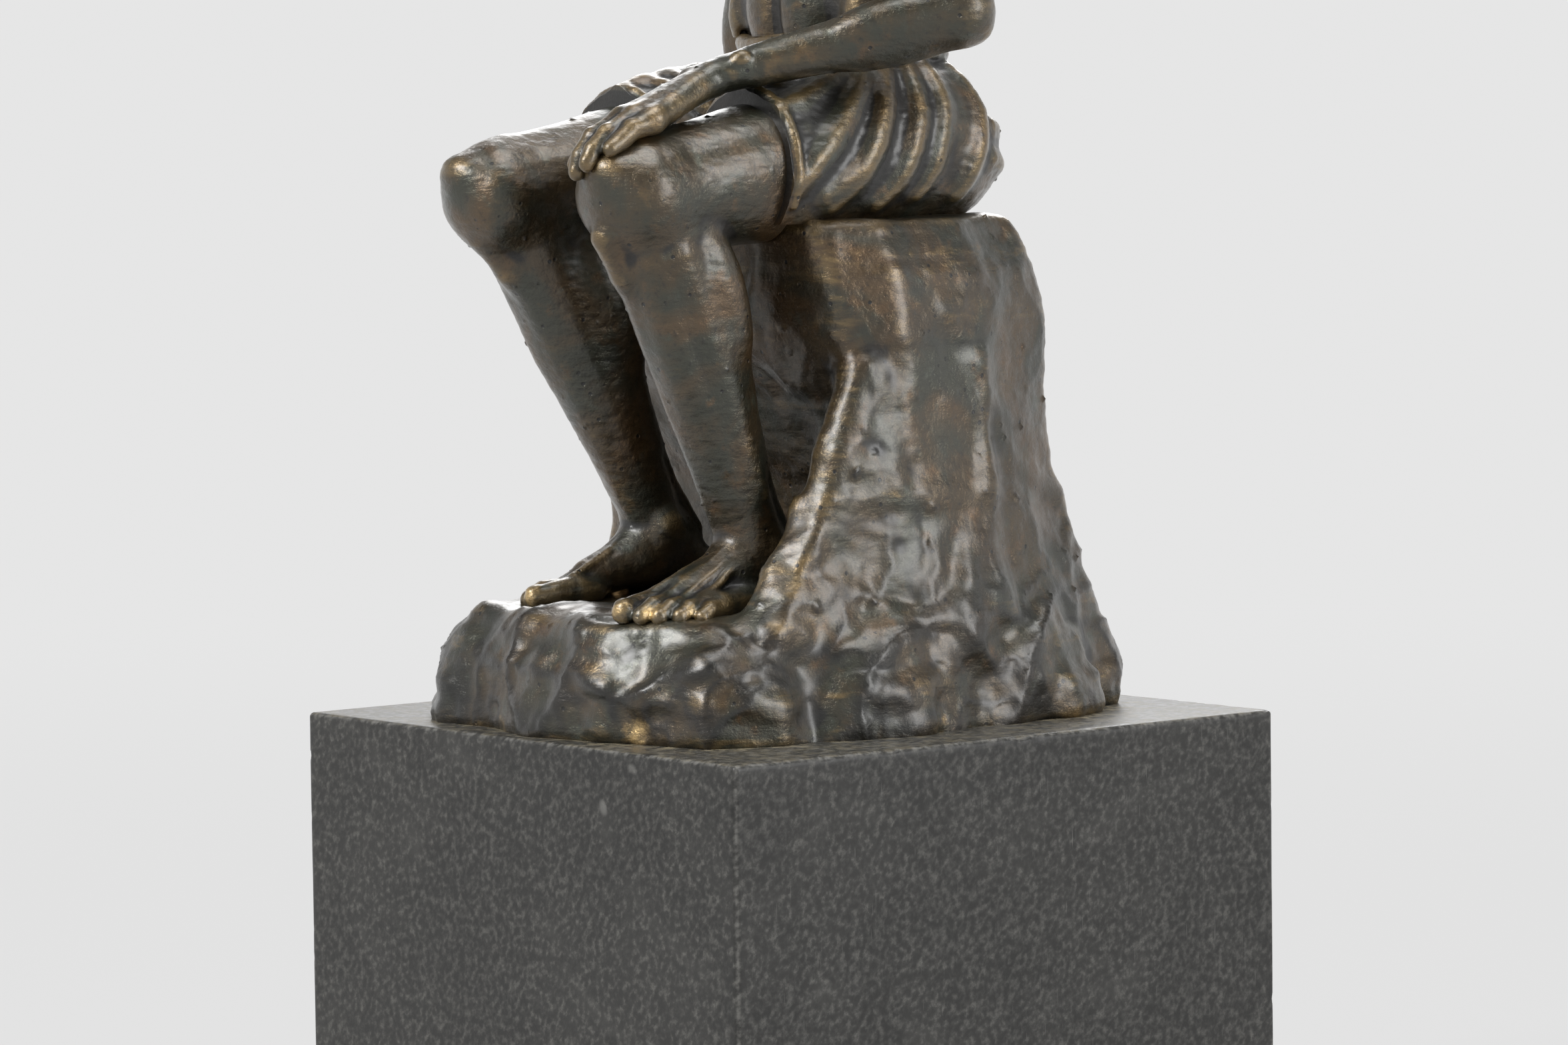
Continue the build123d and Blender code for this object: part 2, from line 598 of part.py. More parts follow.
def shoulder_blade(side):
    """Shoulder blade on one side, lofted upwards."""
    loft([
        ring(
            chest_point(side * across, rise, -back), Z_AXIS, X_AXIS,
            CHEST_HALF_WIDTH * width, CHEST_HALF_DEPTH * depth,
        )
        for across, rise, back, width, depth in SHOULDER_BLADE_STATION_SHARES
    ])


with BuildPart() as torso_casting:
    loft([
        torso_section(0, WAIST_HALF_WIDTH, WAIST_HALF_DEPTH),
        *[
            torso_section(
                rise, CHEST_HALF_WIDTH * width, CHEST_HALF_DEPTH * depth, CHEST_HALF_DEPTH * setback
            )
            for rise, width, depth, setback in TORSO_LEVEL_SHARES
        ],
        torso_section(1, NECK_HALF_WIDTH, NECK_HALF_WIDTH),
    ])
    for side in (LEFT, RIGHT):
        pectoral(side)
        shoulder_blade(side)
    loft(
        [
            torso_section(0, WAIST_HALF_WIDTH - CASTING_WALL, WAIST_HALF_DEPTH - CASTING_WALL),
            *[
                torso_section(
                    rise,
                    (SHOULDER_PLANE - CASTING_WALL) * width,
                    (CHEST_HALF_DEPTH - CASTING_WALL) * depth,
                )
                for rise, width, depth in TORSO_HOLLOW_SHARES
            ],
        ],
        mode=Mode.SUBTRACT,
    )
    split(bisect_by=Plane.YZ.offset(SHOULDER_PLANE), keep=Keep.BOTTOM)
    split(bisect_by=Plane.YZ.offset(-SHOULDER_PLANE), keep=Keep.TOP)
    for place in WAIST_DOWEL_PLACES:
        dowel(place, Z_AXIS, SMALL_DOWEL_DIAMETER, SMALL_DOWEL_LENGTH, DOWEL_PLAY, Mode.SUBTRACT)
    for place in SHOULDER_DOWEL_PLACES:
        dowel(place, X_AXIS, DOWEL_DIAMETER, DOWEL_LENGTH, DOWEL_PLAY, Mode.SUBTRACT)
    dowel(NECK_CENTRE, Z_AXIS, DOWEL_DIAMETER, DOWEL_LENGTH, DOWEL_PLAY, Mode.SUBTRACT)

# Head casting: neck, skull with its cap of hair, nose and ears, bowed a little
HEAD_CENTRE = Vector(0, HEAD_SETBACK, NECK + HEAD_LIFT)
CROWNWARD = Vector(0, -sin(radians(HEAD_TILT)), cos(radians(HEAD_TILT)))
FACEWARD = Vector(0, -cos(radians(HEAD_TILT)), -sin(radians(HEAD_TILT)))


def head_point(height, forward):
    """Point of the head: height as a share from chin to crown, forward as a share of its depth."""
    up = CROWNWARD * HEAD_HEIGHT * (height - HALF_SHARE)
    return HEAD_CENTRE + up + FACEWARD * HEAD_HALF_DEPTH * forward


def head_loft(level_shares):
    """Loft of level sections of the head: height, width, depth and place forward, in shares."""
    loft([
        ring(
            head_point(height, forward), CROWNWARD, X_AXIS,
            HEAD_HALF_WIDTH * width, HEAD_HALF_DEPTH * depth,
        )
        for height, width, depth, forward in level_shares
    ])


with BuildPart() as head_casting:
    head_loft(SKULL_LEVEL_SHARES)
    head_loft(NOSE_LEVEL_SHARES)
    loft([
        torso_section(1, NECK_HALF_WIDTH, NECK_HALF_WIDTH),
        ring(
            head_point(*NAPE_PLACE_SHARES), CROWNWARD, X_AXIS,
            NECK_HALF_WIDTH * NAPE_SHARE, NECK_HALF_WIDTH * NAPE_SHARE,
        ),
    ])
    for side in (LEFT, RIGHT):
        ear = head_point(*EAR_PLACE_SHARES) + X_AXIS * side * HEAD_HALF_WIDTH * EAR_ROOT_SHARE
        lobe = ring(ear, X_AXIS * side, CROWNWARD, EAR_HALF_HEIGHT, EAR_HALF_WIDTH)
        extrude(lobe, EAR_DEPTH)
    dowel(NECK_CENTRE, Z_AXIS, DOWEL_DIAMETER, DOWEL_LENGTH, DOWEL_PLAY, Mode.SUBTRACT)


# Leg castings, from the hem of the wrap to the sole on the ledge
def foot_section(centre, direction, half_width, height):
    """Section across a foot: flat on the ledge and arched above."""
    with BuildSketch(Plane(centre, x_dir=Z_AXIS.cross(direction), z_dir=direction)) as section:
        with BuildLine():
            EllipticalCenterArc((0, 0), half_width, height, arc_size=HALF_TURN)
            Line((-half_width, 0), (half_width, 0))
        make_face()
    return section.sketch


def leg(side):
    """Thigh, knee, shank and foot of one leg."""
    limb_start = ring(hem(side), -Y_AXIS, X_AXIS, THIGH_RADIUS, THIGH_RADIUS)
    axis = (knee(side) - hip(side)).normalized()
    loft([limb_start] + [
        ring(along(hem(side), knee(side), place), axis, X_AXIS, KNEE_RADIUS * width, KNEE_RADIUS * depth)
        for place, width, depth in THIGH_STATION_SHARES
    ])
    with Locations(knee(side)):
        Sphere(KNEE_RADIUS)
    limb(knee(side), ankle(side), CALF_RADIUS, SHANK_STATION_SHARES)
    direction = toe_direction(side)
    heel = Vector(ankle(side).X, ankle(side).Y, LEDGE) - direction * HEEL_LENGTH
    loft([
        foot_section(
            heel + direction * FOOT_LENGTH * place, direction,
            FOOT_HALF_WIDTH * width, INSTEP_HEIGHT * height,
        )
        for place, width, height in FOOT_STATION_SHARES
    ])
    dowel(hem(side), Y_AXIS, DOWEL_DIAMETER, DOWEL_LENGTH, DOWEL_PLAY, Mode.SUBTRACT)
    dowel(sole(side), Z_AXIS, DOWEL_DIAMETER, DOWEL_LENGTH, DOWEL_PLAY, Mode.SUBTRACT)


with BuildPart() as left_leg_casting:
    leg(LEFT)
    add(rock_casting.part, mode=Mode.SUBTRACT)

with BuildPart() as right_leg_casting:
    leg(RIGHT)
    add(rock_casting.part, mode=Mode.SUBTRACT)


# Arm castings: the left hand lies over the left knee, the right hand leans on the seat
def arm(side, elbow, wrist):
    """Shoulder cut flat where it meets the torso, upper arm, elbow and forearm of one arm."""
    with Locations(shoulder(side)):
        Sphere(SHOULDER_RADIUS)
    limb(shoulder(side), elbow, UPPER_ARM_RADIUS, UPPER_ARM_STATION_SHARES)
    outward = Keep.TOP if side == LEFT else Keep.BOTTOM
    split(bisect_by=Plane.YZ.offset(side * SHOULDER_PLANE), keep=outward)
    with Locations(elbow):
        Sphere(ELBOW_RADIUS)
    limb(elbow, wrist, FOREARM_RADIUS, FOREARM_STATION_SHARES)


def hand(stations):
    """Loft of a hand from the wrist: centre, direction, and half width and thickness in shares."""
    loft([
        ring(centre, axis.normalized(), X_AXIS, HAND_HALF_WIDTH * width, HAND_HALF_THICKNESS * thick)
        for centre, axis, width, thick in stations
    ])


thigh_back = (hip(LEFT) - knee(LEFT)).normalized()
left_elbow = Vector(LEFT_ELBOW_OUT, LEFT_ELBOW_SETBACK, SEAT + LEFT_ELBOW_RISE)
left_wrist = knee(LEFT) + thigh_back * LEFT_WRIST_SETBACK + Z_AXIS * (KNEE_RADIUS + LEFT_WRIST_LIFT)
left_palm = knee(LEFT) + thigh_back * LEFT_WRIST_SETBACK / 2
left_palm = left_palm + Z_AXIS * (KNEE_RADIUS + HAND_HALF_THICKNESS + LEFT_PALM_LIFT)


def over_knee(turn_share):
    """Middle of the hand and its direction, that share of its turn round the left knee."""
    turn = radians(FINGER_TURN_DEGREES * turn_share)
    outward = Vector(0, -sin(turn), cos(turn))
    centre = knee(LEFT) + outward * (KNEE_RADIUS + HAND_HALF_THICKNESS)
    return centre, Vector(0, -cos(turn), -sin(turn))


with BuildPart() as left_arm_casting:
    arm(LEFT, left_elbow, left_wrist)
    hand(
        [
            (left_wrist, -thigh_back, *HAND_WRIST_SHARES),
            (left_palm, -thigh_back, *HAND_PALM_SHARES),
        ]
        + [(*over_knee(turn), width, thick) for turn, width, thick in LEFT_FINGER_SHARES]
    )
    add(left_leg_casting.part, mode=Mode.SUBTRACT)
    add(wrap_casting.part, mode=Mode.SUBTRACT)
    dowel(SHOULDER_DOWEL_PLACES[0], X_AXIS, DOWEL_DIAMETER, DOWEL_LENGTH, DOWEL_PLAY, Mode.SUBTRACT)

right_elbow = Vector(-RIGHT_ELBOW_OUT, RIGHT_ELBOW_SETBACK, SEAT + RIGHT_ELBOW_RISE)
right_wrist = Vector(-RIGHT_WRIST_OUT, RIGHT_WRIST_SETBACK, SEAT + RIGHT_WRIST_RISE)
right_palm_rise = HAND_HALF_THICKNESS - RIGHT_HAND_PRESS - RIGHT_WRIST_RISE
with BuildPart() as right_arm_casting:
    arm(RIGHT, right_elbow, right_wrist)
    hand([
        (
            right_wrist + Vector(0, -RIGHT_HAND_LENGTH * place, right_palm_rise * drop),
            Vector(0, -1, -slope), width, thick,
        )
        for place, drop, slope, width, thick in RIGHT_HAND_SHARES
    ])
    split(bisect_by=Plane.XY.offset(SEAT), keep=Keep.TOP)
    dowel(SHOULDER_DOWEL_PLACES[1], X_AXIS, DOWEL_DIAMETER, DOWEL_LENGTH, DOWEL_PLAY, Mode.SUBTRACT)

# Dowels
with BuildPart() as neck_dowel:
    dowel(NECK_CENTRE, Z_AXIS, DOWEL_DIAMETER, DOWEL_LENGTH)

with BuildPart() as shoulder_dowels:
    for place in SHOULDER_DOWEL_PLACES:
        dowel(place, X_AXIS, DOWEL_DIAMETER, DOWEL_LENGTH)

with BuildPart() as waist_dowels:
    for place in WAIST_DOWEL_PLACES:
        dowel(place, Z_AXIS, SMALL_DOWEL_DIAMETER, SMALL_DOWEL_LENGTH)

with BuildPart() as seat_dowels:
    for place in SEAT_DOWEL_PLACES:
        dowel(place, Z_AXIS, DOWEL_DIAMETER, DOWEL_LENGTH)

with BuildPart() as thigh_dowels:
    for side in (LEFT, RIGHT):
        dowel(hem(side), Y_AXIS, DOWEL_DIAMETER, DOWEL_LENGTH)

with BuildPart() as foot_dowels:
    for side in (LEFT, RIGHT):
        dowel(sole(side), Z_AXIS, DOWEL_DIAMETER, DOWEL_LENGTH)

# One STEP file for each piece
PIECES = {
    "plinth": plinth,
    "felt_pad": felt_pad,
    "rock_casting": rock_casting,
    "core_plugs": core_plugs,
    "fixing_bar": fixing_bar,
    "fixing_screws": fixing_screws,
    "plain_washers": plain_washers,
    "spring_washers": spring_washers,
    "wrap_casting": wrap_casting,
    "torso_casting": torso_casting,
    "head_casting": head_casting,
    "left_arm_casting": left_arm_casting,
    "right_arm_casting": right_arm_casting,
    "left_leg_casting": left_leg_casting,
    "right_leg_casting": right_leg_casting,
    "neck_dowel": neck_dowel,
    "shoulder_dowels": shoulder_dowels,
    "waist_dowels": waist_dowels,
    "seat_dowels": seat_dowels,
    "thigh_dowels": thigh_dowels,
    "foot_dowels": foot_dowels,
}
os.makedirs("parts", exist_ok=True)
for name, piece in PIECES.items():
    piece.part.label = name
    export_step(piece.part, f"parts/{name}.step")
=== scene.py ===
"""Dress the seated bronze figure, its rock and its stone plinth, and set up the studio."""

import logging
from dataclasses import dataclass, field
from enum import Enum
from math import cos, pi, radians, sin
from typing import Iterable, Sequence

import bmesh
import bpy
import numpy as np
import openvdb
from mathutils import Matrix, Vector


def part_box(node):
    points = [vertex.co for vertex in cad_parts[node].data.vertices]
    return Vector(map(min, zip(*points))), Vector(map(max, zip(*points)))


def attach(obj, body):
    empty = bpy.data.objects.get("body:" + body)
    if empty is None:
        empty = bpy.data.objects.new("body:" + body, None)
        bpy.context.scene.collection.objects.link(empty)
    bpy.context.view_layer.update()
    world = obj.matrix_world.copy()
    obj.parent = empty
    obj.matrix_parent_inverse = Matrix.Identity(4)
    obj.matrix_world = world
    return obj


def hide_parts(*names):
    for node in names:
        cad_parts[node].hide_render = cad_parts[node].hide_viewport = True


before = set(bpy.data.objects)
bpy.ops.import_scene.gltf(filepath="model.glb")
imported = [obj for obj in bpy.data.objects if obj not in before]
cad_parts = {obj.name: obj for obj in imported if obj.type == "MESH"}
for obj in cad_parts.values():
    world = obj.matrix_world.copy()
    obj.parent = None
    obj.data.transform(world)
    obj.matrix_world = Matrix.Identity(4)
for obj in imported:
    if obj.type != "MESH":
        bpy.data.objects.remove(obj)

logging.basicConfig(level=logging.INFO, format="%(name)s: %(message)s")
log = logging.getLogger("statue")

MM = 0.001
BODY = "root"
Triple = Sequence[float]
Colour = Sequence[float]
Socket = bpy.types.NodeSocket

X_AXIS, Y_AXIS, Z_AXIS = np.eye(3)
FORWARD = -Y_AXIS


class Side(Enum):
    """The figure's own left is on the +X side."""

    LEFT = 1.0
    RIGHT = -1.0


class Slot(Enum):
    """Material slots of the record."""

    STONE = "dark_stone"
    FELT = "felt"
    BRONZE = "patinated_bronze"
    RAW_BRONZE = "raw_bronze"
    STEEL = "zinc_steel"


def unit(vector: Triple) -> np.ndarray:
    """Vector of length one in the same direction."""
    array = np.asarray(vector, float)
    return array / np.linalg.norm(array)


def lerp(start: Triple, end: Triple, share: float) -> np.ndarray:
    """Point a share of the way from start to end."""
    return np.asarray(start, float) * (1 - share) + np.asarray(end, float) * share


def soft_min(first: np.ndarray, second: np.ndarray, blend: float) -> np.ndarray:
    """Union of two distance fields with a fillet about as wide as blend."""
    gap = np.maximum(blend - np.abs(first - second), 0)
    return np.minimum(first, second) - gap * gap / (4 * blend)


@dataclass(frozen=True)
class Grid:
    """A box of sample points, in millimetres."""

    low: np.ndarray
    count: np.ndarray
    pitch: float

    @classmethod
    def around(cls, low: Triple, high: Triple, pitch: float) -> "Grid":
        """Grid that covers the box from low to high."""
        corner = np.asarray(low, float)
        count = np.ceil((np.asarray(high, float) - corner) / pitch).astype(int) + 1
        return cls(corner, count, pitch)

    def window(self, low: np.ndarray, high: np.ndarray) -> tuple[np.ndarray, np.ndarray]:
        """First and past-the-last sample that a box touches on each axis."""
        first = np.clip(np.floor((low - self.low) / self.pitch), 0, self.count).astype(int)
        last = np.clip(np.ceil((high - self.low) / self.pitch) + 1, 0, self.count).astype(int)
        return first, last

    def lines(self, first: np.ndarray, last: np.ndarray) -> list[np.ndarray]:
        """Coordinates of a window's samples, one axis each, ready to broadcast."""
        lines = []
        for axis in range(3):
            values = self.low[axis] + self.pitch * np.arange(first[axis], last[axis])
            shape = [1, 1, 1]
            shape[axis] = -1
            lines.append(values.astype(np.float32).reshape(shape))
        return lines


class Shape:
    """A solid that the modelling adds to a form or cuts from it, in millimetres."""

    def box(self) -> tuple[np.ndarray, np.ndarray]:
        """Lowest and highest corner."""
        raise NotImplementedError

    def distance(self, x: np.ndarray, y: np.ndarray, z: np.ndarray) -> np.ndarray:
        """Signed distance to the surface, negative inside."""
        raise NotImplementedError


@dataclass(frozen=True)
class Strand(Shape):
    """A round bar along a line of points, with a radius at each of them."""

    points: np.ndarray
    radii: np.ndarray

    def box(self) -> tuple[np.ndarray, np.ndarray]:
        """Lowest and highest corner."""
        reach = float(np.max(self.radii))
        return np.min(self.points, axis=0) - reach, np.max(self.points, axis=0) + reach

    def distance(self, x: np.ndarray, y: np.ndarray, z: np.ndarray) -> np.ndarray:
        """Signed distance to the nearest of its tapered lengths."""
        best = None
        for index in range(len(self.points) - 1):
            ax, ay, az = self.points[index]
            bx, by, bz = self.points[index + 1] - self.points[index]
            start, end = self.radii[index], self.radii[index + 1]
            px, py, pz = x - ax, y - ay, z - az
            share = np.clip((px * bx + py * by + pz * bz) / (bx * bx + by * by + bz * bz), 0, 1)
            square = (px - share * bx) ** 2 + (py - share * by) ** 2 + (pz - share * bz) ** 2
            one = np.sqrt(square) - (start + (end - start) * share)
            best = one if best is None else np.minimum(best, one)
        return best


@dataclass(frozen=True)
class Lump(Shape):
    """An ellipsoid; the rows of axes are the directions of its three half sizes."""

    centre: np.ndarray
    radii: Triple
    axes: np.ndarray

    def box(self) -> tuple[np.ndarray, np.ndarray]:
        """Lowest and highest corner."""
        reach = np.sqrt(np.sum((self.axes * np.asarray(self.radii)[:, None]) ** 2, axis=0))
        return self.centre - reach, self.centre + reach

    def distance(self, x: np.ndarray, y: np.ndarray, z: np.ndarray) -> np.ndarray:
        """Signed distance, close to true near the surface."""
        px, py, pz = x - self.centre[0], y - self.centre[1], z - self.centre[2]
        near, steep = 0.0, 1e-9
        for axis, radius in zip(self.axes, self.radii):
            share = (px * axis[0] + py * axis[1] + pz * axis[2]) / radius
            near = near + share * share
            steep = steep + (share / radius) ** 2
        near = np.sqrt(near)
        return near * (near - 1) / np.sqrt(steep)


@dataclass(frozen=True)
class Crag(Shape):
    """A block of rock: what lies behind all of a set of planes."""

    normals: np.ndarray
    reaches: np.ndarray
    low: np.ndarray
    high: np.ndarray

    @classmethod
    def between(cls, lower: np.ndarray, upper: np.ndarray) -> "Crag":
        """Block from one level polygon up to another with as many corners."""
        middle = (lower.mean(axis=0) + upper.mean(axis=0)) / 2
        directions = [Z_AXIS, -Z_AXIS]
        for index in range(len(lower)):
            after = (index + 1) % len(lower)
            normal = unit(np.cross(lower[after] - upper[index], upper[after] - lower[index]))
            directions.append(normal * np.sign(np.dot(normal, lower[index] - middle)))
        points, normals = np.concatenate([lower, upper]), np.array(directions)
        return cls(normals, np.max(points @ normals.T, axis=0), points.min(axis=0), points.max(axis=0))

    def box(self) -> tuple[np.ndarray, np.ndarray]:
        """Lowest and highest corner."""
        return self.low, self.high

    def distance(self, x: np.ndarray, y: np.ndarray, z: np.ndarray) -> np.ndarray:
        """Signed distance to the nearest of the planes."""
        farthest = None
        for normal, reach in zip(self.normals, self.reaches):
            plane = x * normal[0] + y * normal[1] + z * normal[2] - reach
            farthest = plane if farthest is None else np.maximum(farthest, plane)
        return farthest


@dataclass(frozen=True)
class Stroke:
    """One act of modelling: a shape added to the form or cut from it, with a fillet."""

    shape: Shape
    blend: float
    carve: bool = False

    def work(self, form: np.ndarray, shape: np.ndarray) -> np.ndarray:
        """Distance field of the form after the stroke."""
        if self.carve:
            return -soft_min(-form, shape, self.blend)
        return soft_min(form, shape, self.blend)


class Sculpt:
    """A form made stroke by stroke, kept as a signed distance in millimetres."""

    REACH = 3.0
    PROBE = 0.05
    SETTLE_STEPS = 5

    def __init__(self) -> None:
        """Start with nothing."""
        self.strokes: list[Stroke] = []

    def add(self, shape: Shape, blend: float = 1.0) -> None:
        """Put a shape on."""
        self.strokes.append(Stroke(shape, blend))

    def cut(self, shape: Shape, blend: float = 1.0) -> None:
        """Take a shape away."""
        self.strokes.append(Stroke(shape, blend, carve=True))

    def bar(self, points: Sequence[Triple], radii: Sequence[float], blend: float) -> None:
        """Put on a round bar through points, with a radius at each of them."""
        self.add(Strand(np.asarray(points, float), np.asarray(radii, float)), blend)

    def ball(self, centre: np.ndarray, radii: Triple, blend: float) -> None:
        """Put on an ellipsoid along the frame's own axes."""
        self.add(Lump(centre, radii, np.eye(3)), blend)

    def fill(self, grid: Grid) -> np.ndarray:
        """Distance field on a grid, true within a few millimetres of the surface."""
        values = np.full(grid.count, self.REACH, np.float32)
        for stroke in self.strokes:
            low, high = stroke.shape.box()
            margin = self.REACH + stroke.blend
            first, last = grid.window(low - margin, high + margin)
            if np.any(last <= first):
                continue
            part = values[tuple(slice(a, b) for a, b in zip(first, last))]
            part[...] = stroke.work(part, stroke.shape.distance(*grid.lines(first, last)))
        return values

    def at(self, points: np.ndarray) -> np.ndarray:
        """Distance at each of the points."""
        values = np.full(len(points), self.REACH)
        x, y, z = np.asarray(points, float).T
        for stroke in self.strokes:
            values = stroke.work(values, stroke.shape.distance(x, y, z))
        return values

    def settle(self, points: Iterable[Triple], lift: float = 0.0) -> np.ndarray:
        """Points moved straight to the surface, or to lift above it."""
        places = np.array(list(points), float)
        steps = np.concatenate([np.zeros((1, 3)), np.eye(3), -np.eye(3)]) * self.PROBE
        for _ in range(self.SETTLE_STEPS):
            around = self.at((places[None] + steps[:, None]).reshape(-1, 3)).reshape(len(steps), -1)
            slope = (around[1:4] - around[4:7]).T
            slope /= np.maximum(np.linalg.norm(slope, axis=1, keepdims=True), 1e-6)
            places -= slope * (around[0] - lift)[:, None]
        return places


@dataclass(frozen=True)
class Frame:
    """Directions in which a limb or mass is modelled: outwards, to its front and along it."""

    origin: np.ndarray
    out: np.ndarray
    front: np.ndarray
    along: np.ndarray

    @classmethod
    def of_bone(cls, start: Triple, end: Triple, front: Triple, out: Triple) -> "Frame":
        """Frame that runs from start to end.

        Args:
            start: Where along is zero.
            end: Point that along runs to.
            front: Rough direction of the front.
            out: Rough direction of the outside.

        Returns:
            The frame, with its three directions square to each other.
        """
        along = unit(np.subtract(end, start))
        ahead = unit(np.asarray(front, float) - along * np.dot(front, along))
        side = np.cross(along, ahead)
        return cls(np.asarray(start, float), side * np.sign(np.dot(side, out)), ahead, along)

    def at(self, place: Triple) -> np.ndarray:
        """World point of a place given as outwards, to the front and along."""
        return self.origin + self.out * place[0] + self.front * place[1] + self.along * place[2]

    def mirrored(self) -> "Frame":
        """The same frame for the other side of the body."""
        return Frame(self.origin, -self.out, self.front, self.along)


@dataclass(frozen=True)
class Mass:
    """A rounded mass, placed and sized outwards, to the front and along, with leans in degrees."""

    name: str
    place: Triple
    radii: Triple
    blend: float = 2.0
    pitch: float = 0.0
    yaw: float = 0.0
    carve: bool = False

    def stroke(self, where: Frame) -> Stroke:
        """The stroke that models it; pitch leans along to the front, yaw leans it outwards."""
        pitch, yaw = radians(self.pitch), radians(self.yaw)
        along = where.along * cos(pitch) + where.front * sin(pitch)
        front = where.front * cos(pitch) - where.along * sin(pitch)
        out = where.out * cos(yaw) - along * sin(yaw)
        along = along * cos(yaw) + where.out * sin(yaw)
        return Stroke(
            Lump(where.at(self.place), self.radii, np.stack([out, front, along])), self.blend, self.carve,
        )


@dataclass(frozen=True)
class Cord:
    """A rounded cord through places, with a radius at each: a bone, tendon, toe, fold or groove."""

    name: str
    places: Sequence[Triple]
    radii: Sequence[float]
    blend: float = 1.5
    carve: bool = False

    def stroke(self, where: Frame) -> Stroke:
        """The stroke that models it."""
        points = np.array([where.at(place) for place in self.places])
        return Stroke(Strand(points, np.asarray(self.radii, float)), self.blend, self.carve)


def model(form: Sculpt, where: Frame, parts: Iterable[Mass | Cord], both_sides: bool = False) -> None:
    """Model parts onto a form, on the mirrored side too if asked."""
    for part in parts:
        form.strokes.append(part.stroke(where))
        if both_sides:
            form.strokes.append(part.stroke(where.mirrored()))


class Nodes:
    """Short way to write a node tree."""

    def __init__(self, tree: bpy.types.NodeTree) -> None:
        """Start the tree afresh."""
        self.tree = tree
        tree.nodes.clear()

    def put(self, kind: str, inputs: dict | None = None, **settings: object) -> bpy.types.Node:
        """Add one node.

        Args:
            kind: Its type.
            inputs: For each of its sockets by name or index, a value, or a socket to link.
            settings: Its properties.

        Returns:
            The node.
        """
        node = self.tree.nodes.new(kind)
        for name, value in settings.items():
            setattr(node, name, value)
        for key, value in (inputs or {}).items():
            if isinstance(value, Socket):
                self.tree.links.new(value, node.inputs[key])
            else:
                node.inputs[key].default_value = value
        return node

    def math(
        self, operation: str, first: Socket | float, second: Socket | float = 0.0, clamp: bool = False,
    ) -> Socket:
        """Result of one Math node."""
        node = self.put("ShaderNodeMath", {0: first, 1: second}, operation=operation, use_clamp=clamp)
        return node.outputs[0]

    def plus(self, first: Socket | float, second: Socket | float) -> Socket:
        """Sum of two values."""
        return self.math("ADD", first, second)

    def minus(self, first: Socket | float, second: Socket | float) -> Socket:
        """Difference of two values."""
        return self.math("SUBTRACT", first, second)

    def times(self, first: Socket | float, second: Socket | float) -> Socket:
        """Product of two values."""
        return self.math("MULTIPLY", first, second)

    def vector(self, operation: str, first: Socket, second: Socket | Triple) -> Socket:
        """Vector that one Vector Math node gives."""
        return self.put("ShaderNodeVectorMath", {0: first, 1: second}, operation=operation).outputs[0]

    def range(self, value: Socket, low: float, high: float, bottom: float = 0.0, top: float = 1.0) -> Socket:
        """Value eased from bottom at low to top at high."""
        inputs = {"Value": value, "From Min": low, "From Max": high, "To Min": bottom, "To Max": top}
        return self.put("ShaderNodeMapRange", inputs, interpolation_type="SMOOTHSTEP").outputs[0]

    def mix(
        self, share: Socket | float, first: Socket | Colour, second: Socket | Colour, blend: str = "MIX",
    ) -> Socket:
        """Mix of two colours."""
        inputs = {0: share, 6: first, 7: second}
        return self.put("ShaderNodeMix", inputs, data_type="RGBA", blend_type=blend).outputs[2]

    def noise(
        self, place: Socket, scale: Socket | float, detail: float = 3.0, rough: float = 0.5,
        twist: float = 0.0,
    ) -> Socket:
        """Noise between 0 and 1."""
        inputs = {"Vector": place, "Scale": scale, "Detail": detail, "Roughness": rough, "Distortion": twist}
        return self.put("ShaderNodeTexNoise", inputs).outputs[0]

    def attribute(self, name: str) -> Socket:
        """Value that a surface keeps under a name, read in its material."""
        return self.put("ShaderNodeAttribute", attribute_name=name).outputs["Fac"]

    def place(self) -> Socket:
        """Place in the object's own axes."""
        return self.put("ShaderNodeTexCoord").outputs["Object"]

    def principled(self, inputs: dict) -> None:
        """End a material with its shader."""
        shader = self.put("ShaderNodeBsdfPrincipled", inputs)
        self.put("ShaderNodeOutputMaterial", {"Surface": shader.outputs[0]})


def new_finish(name: str) -> tuple[bpy.types.Material, Nodes]:
    """Empty node material, and the way to write its tree."""
    finish = bpy.data.materials.new(name)
    finish.use_nodes = True
    return finish, Nodes(finish.node_tree)


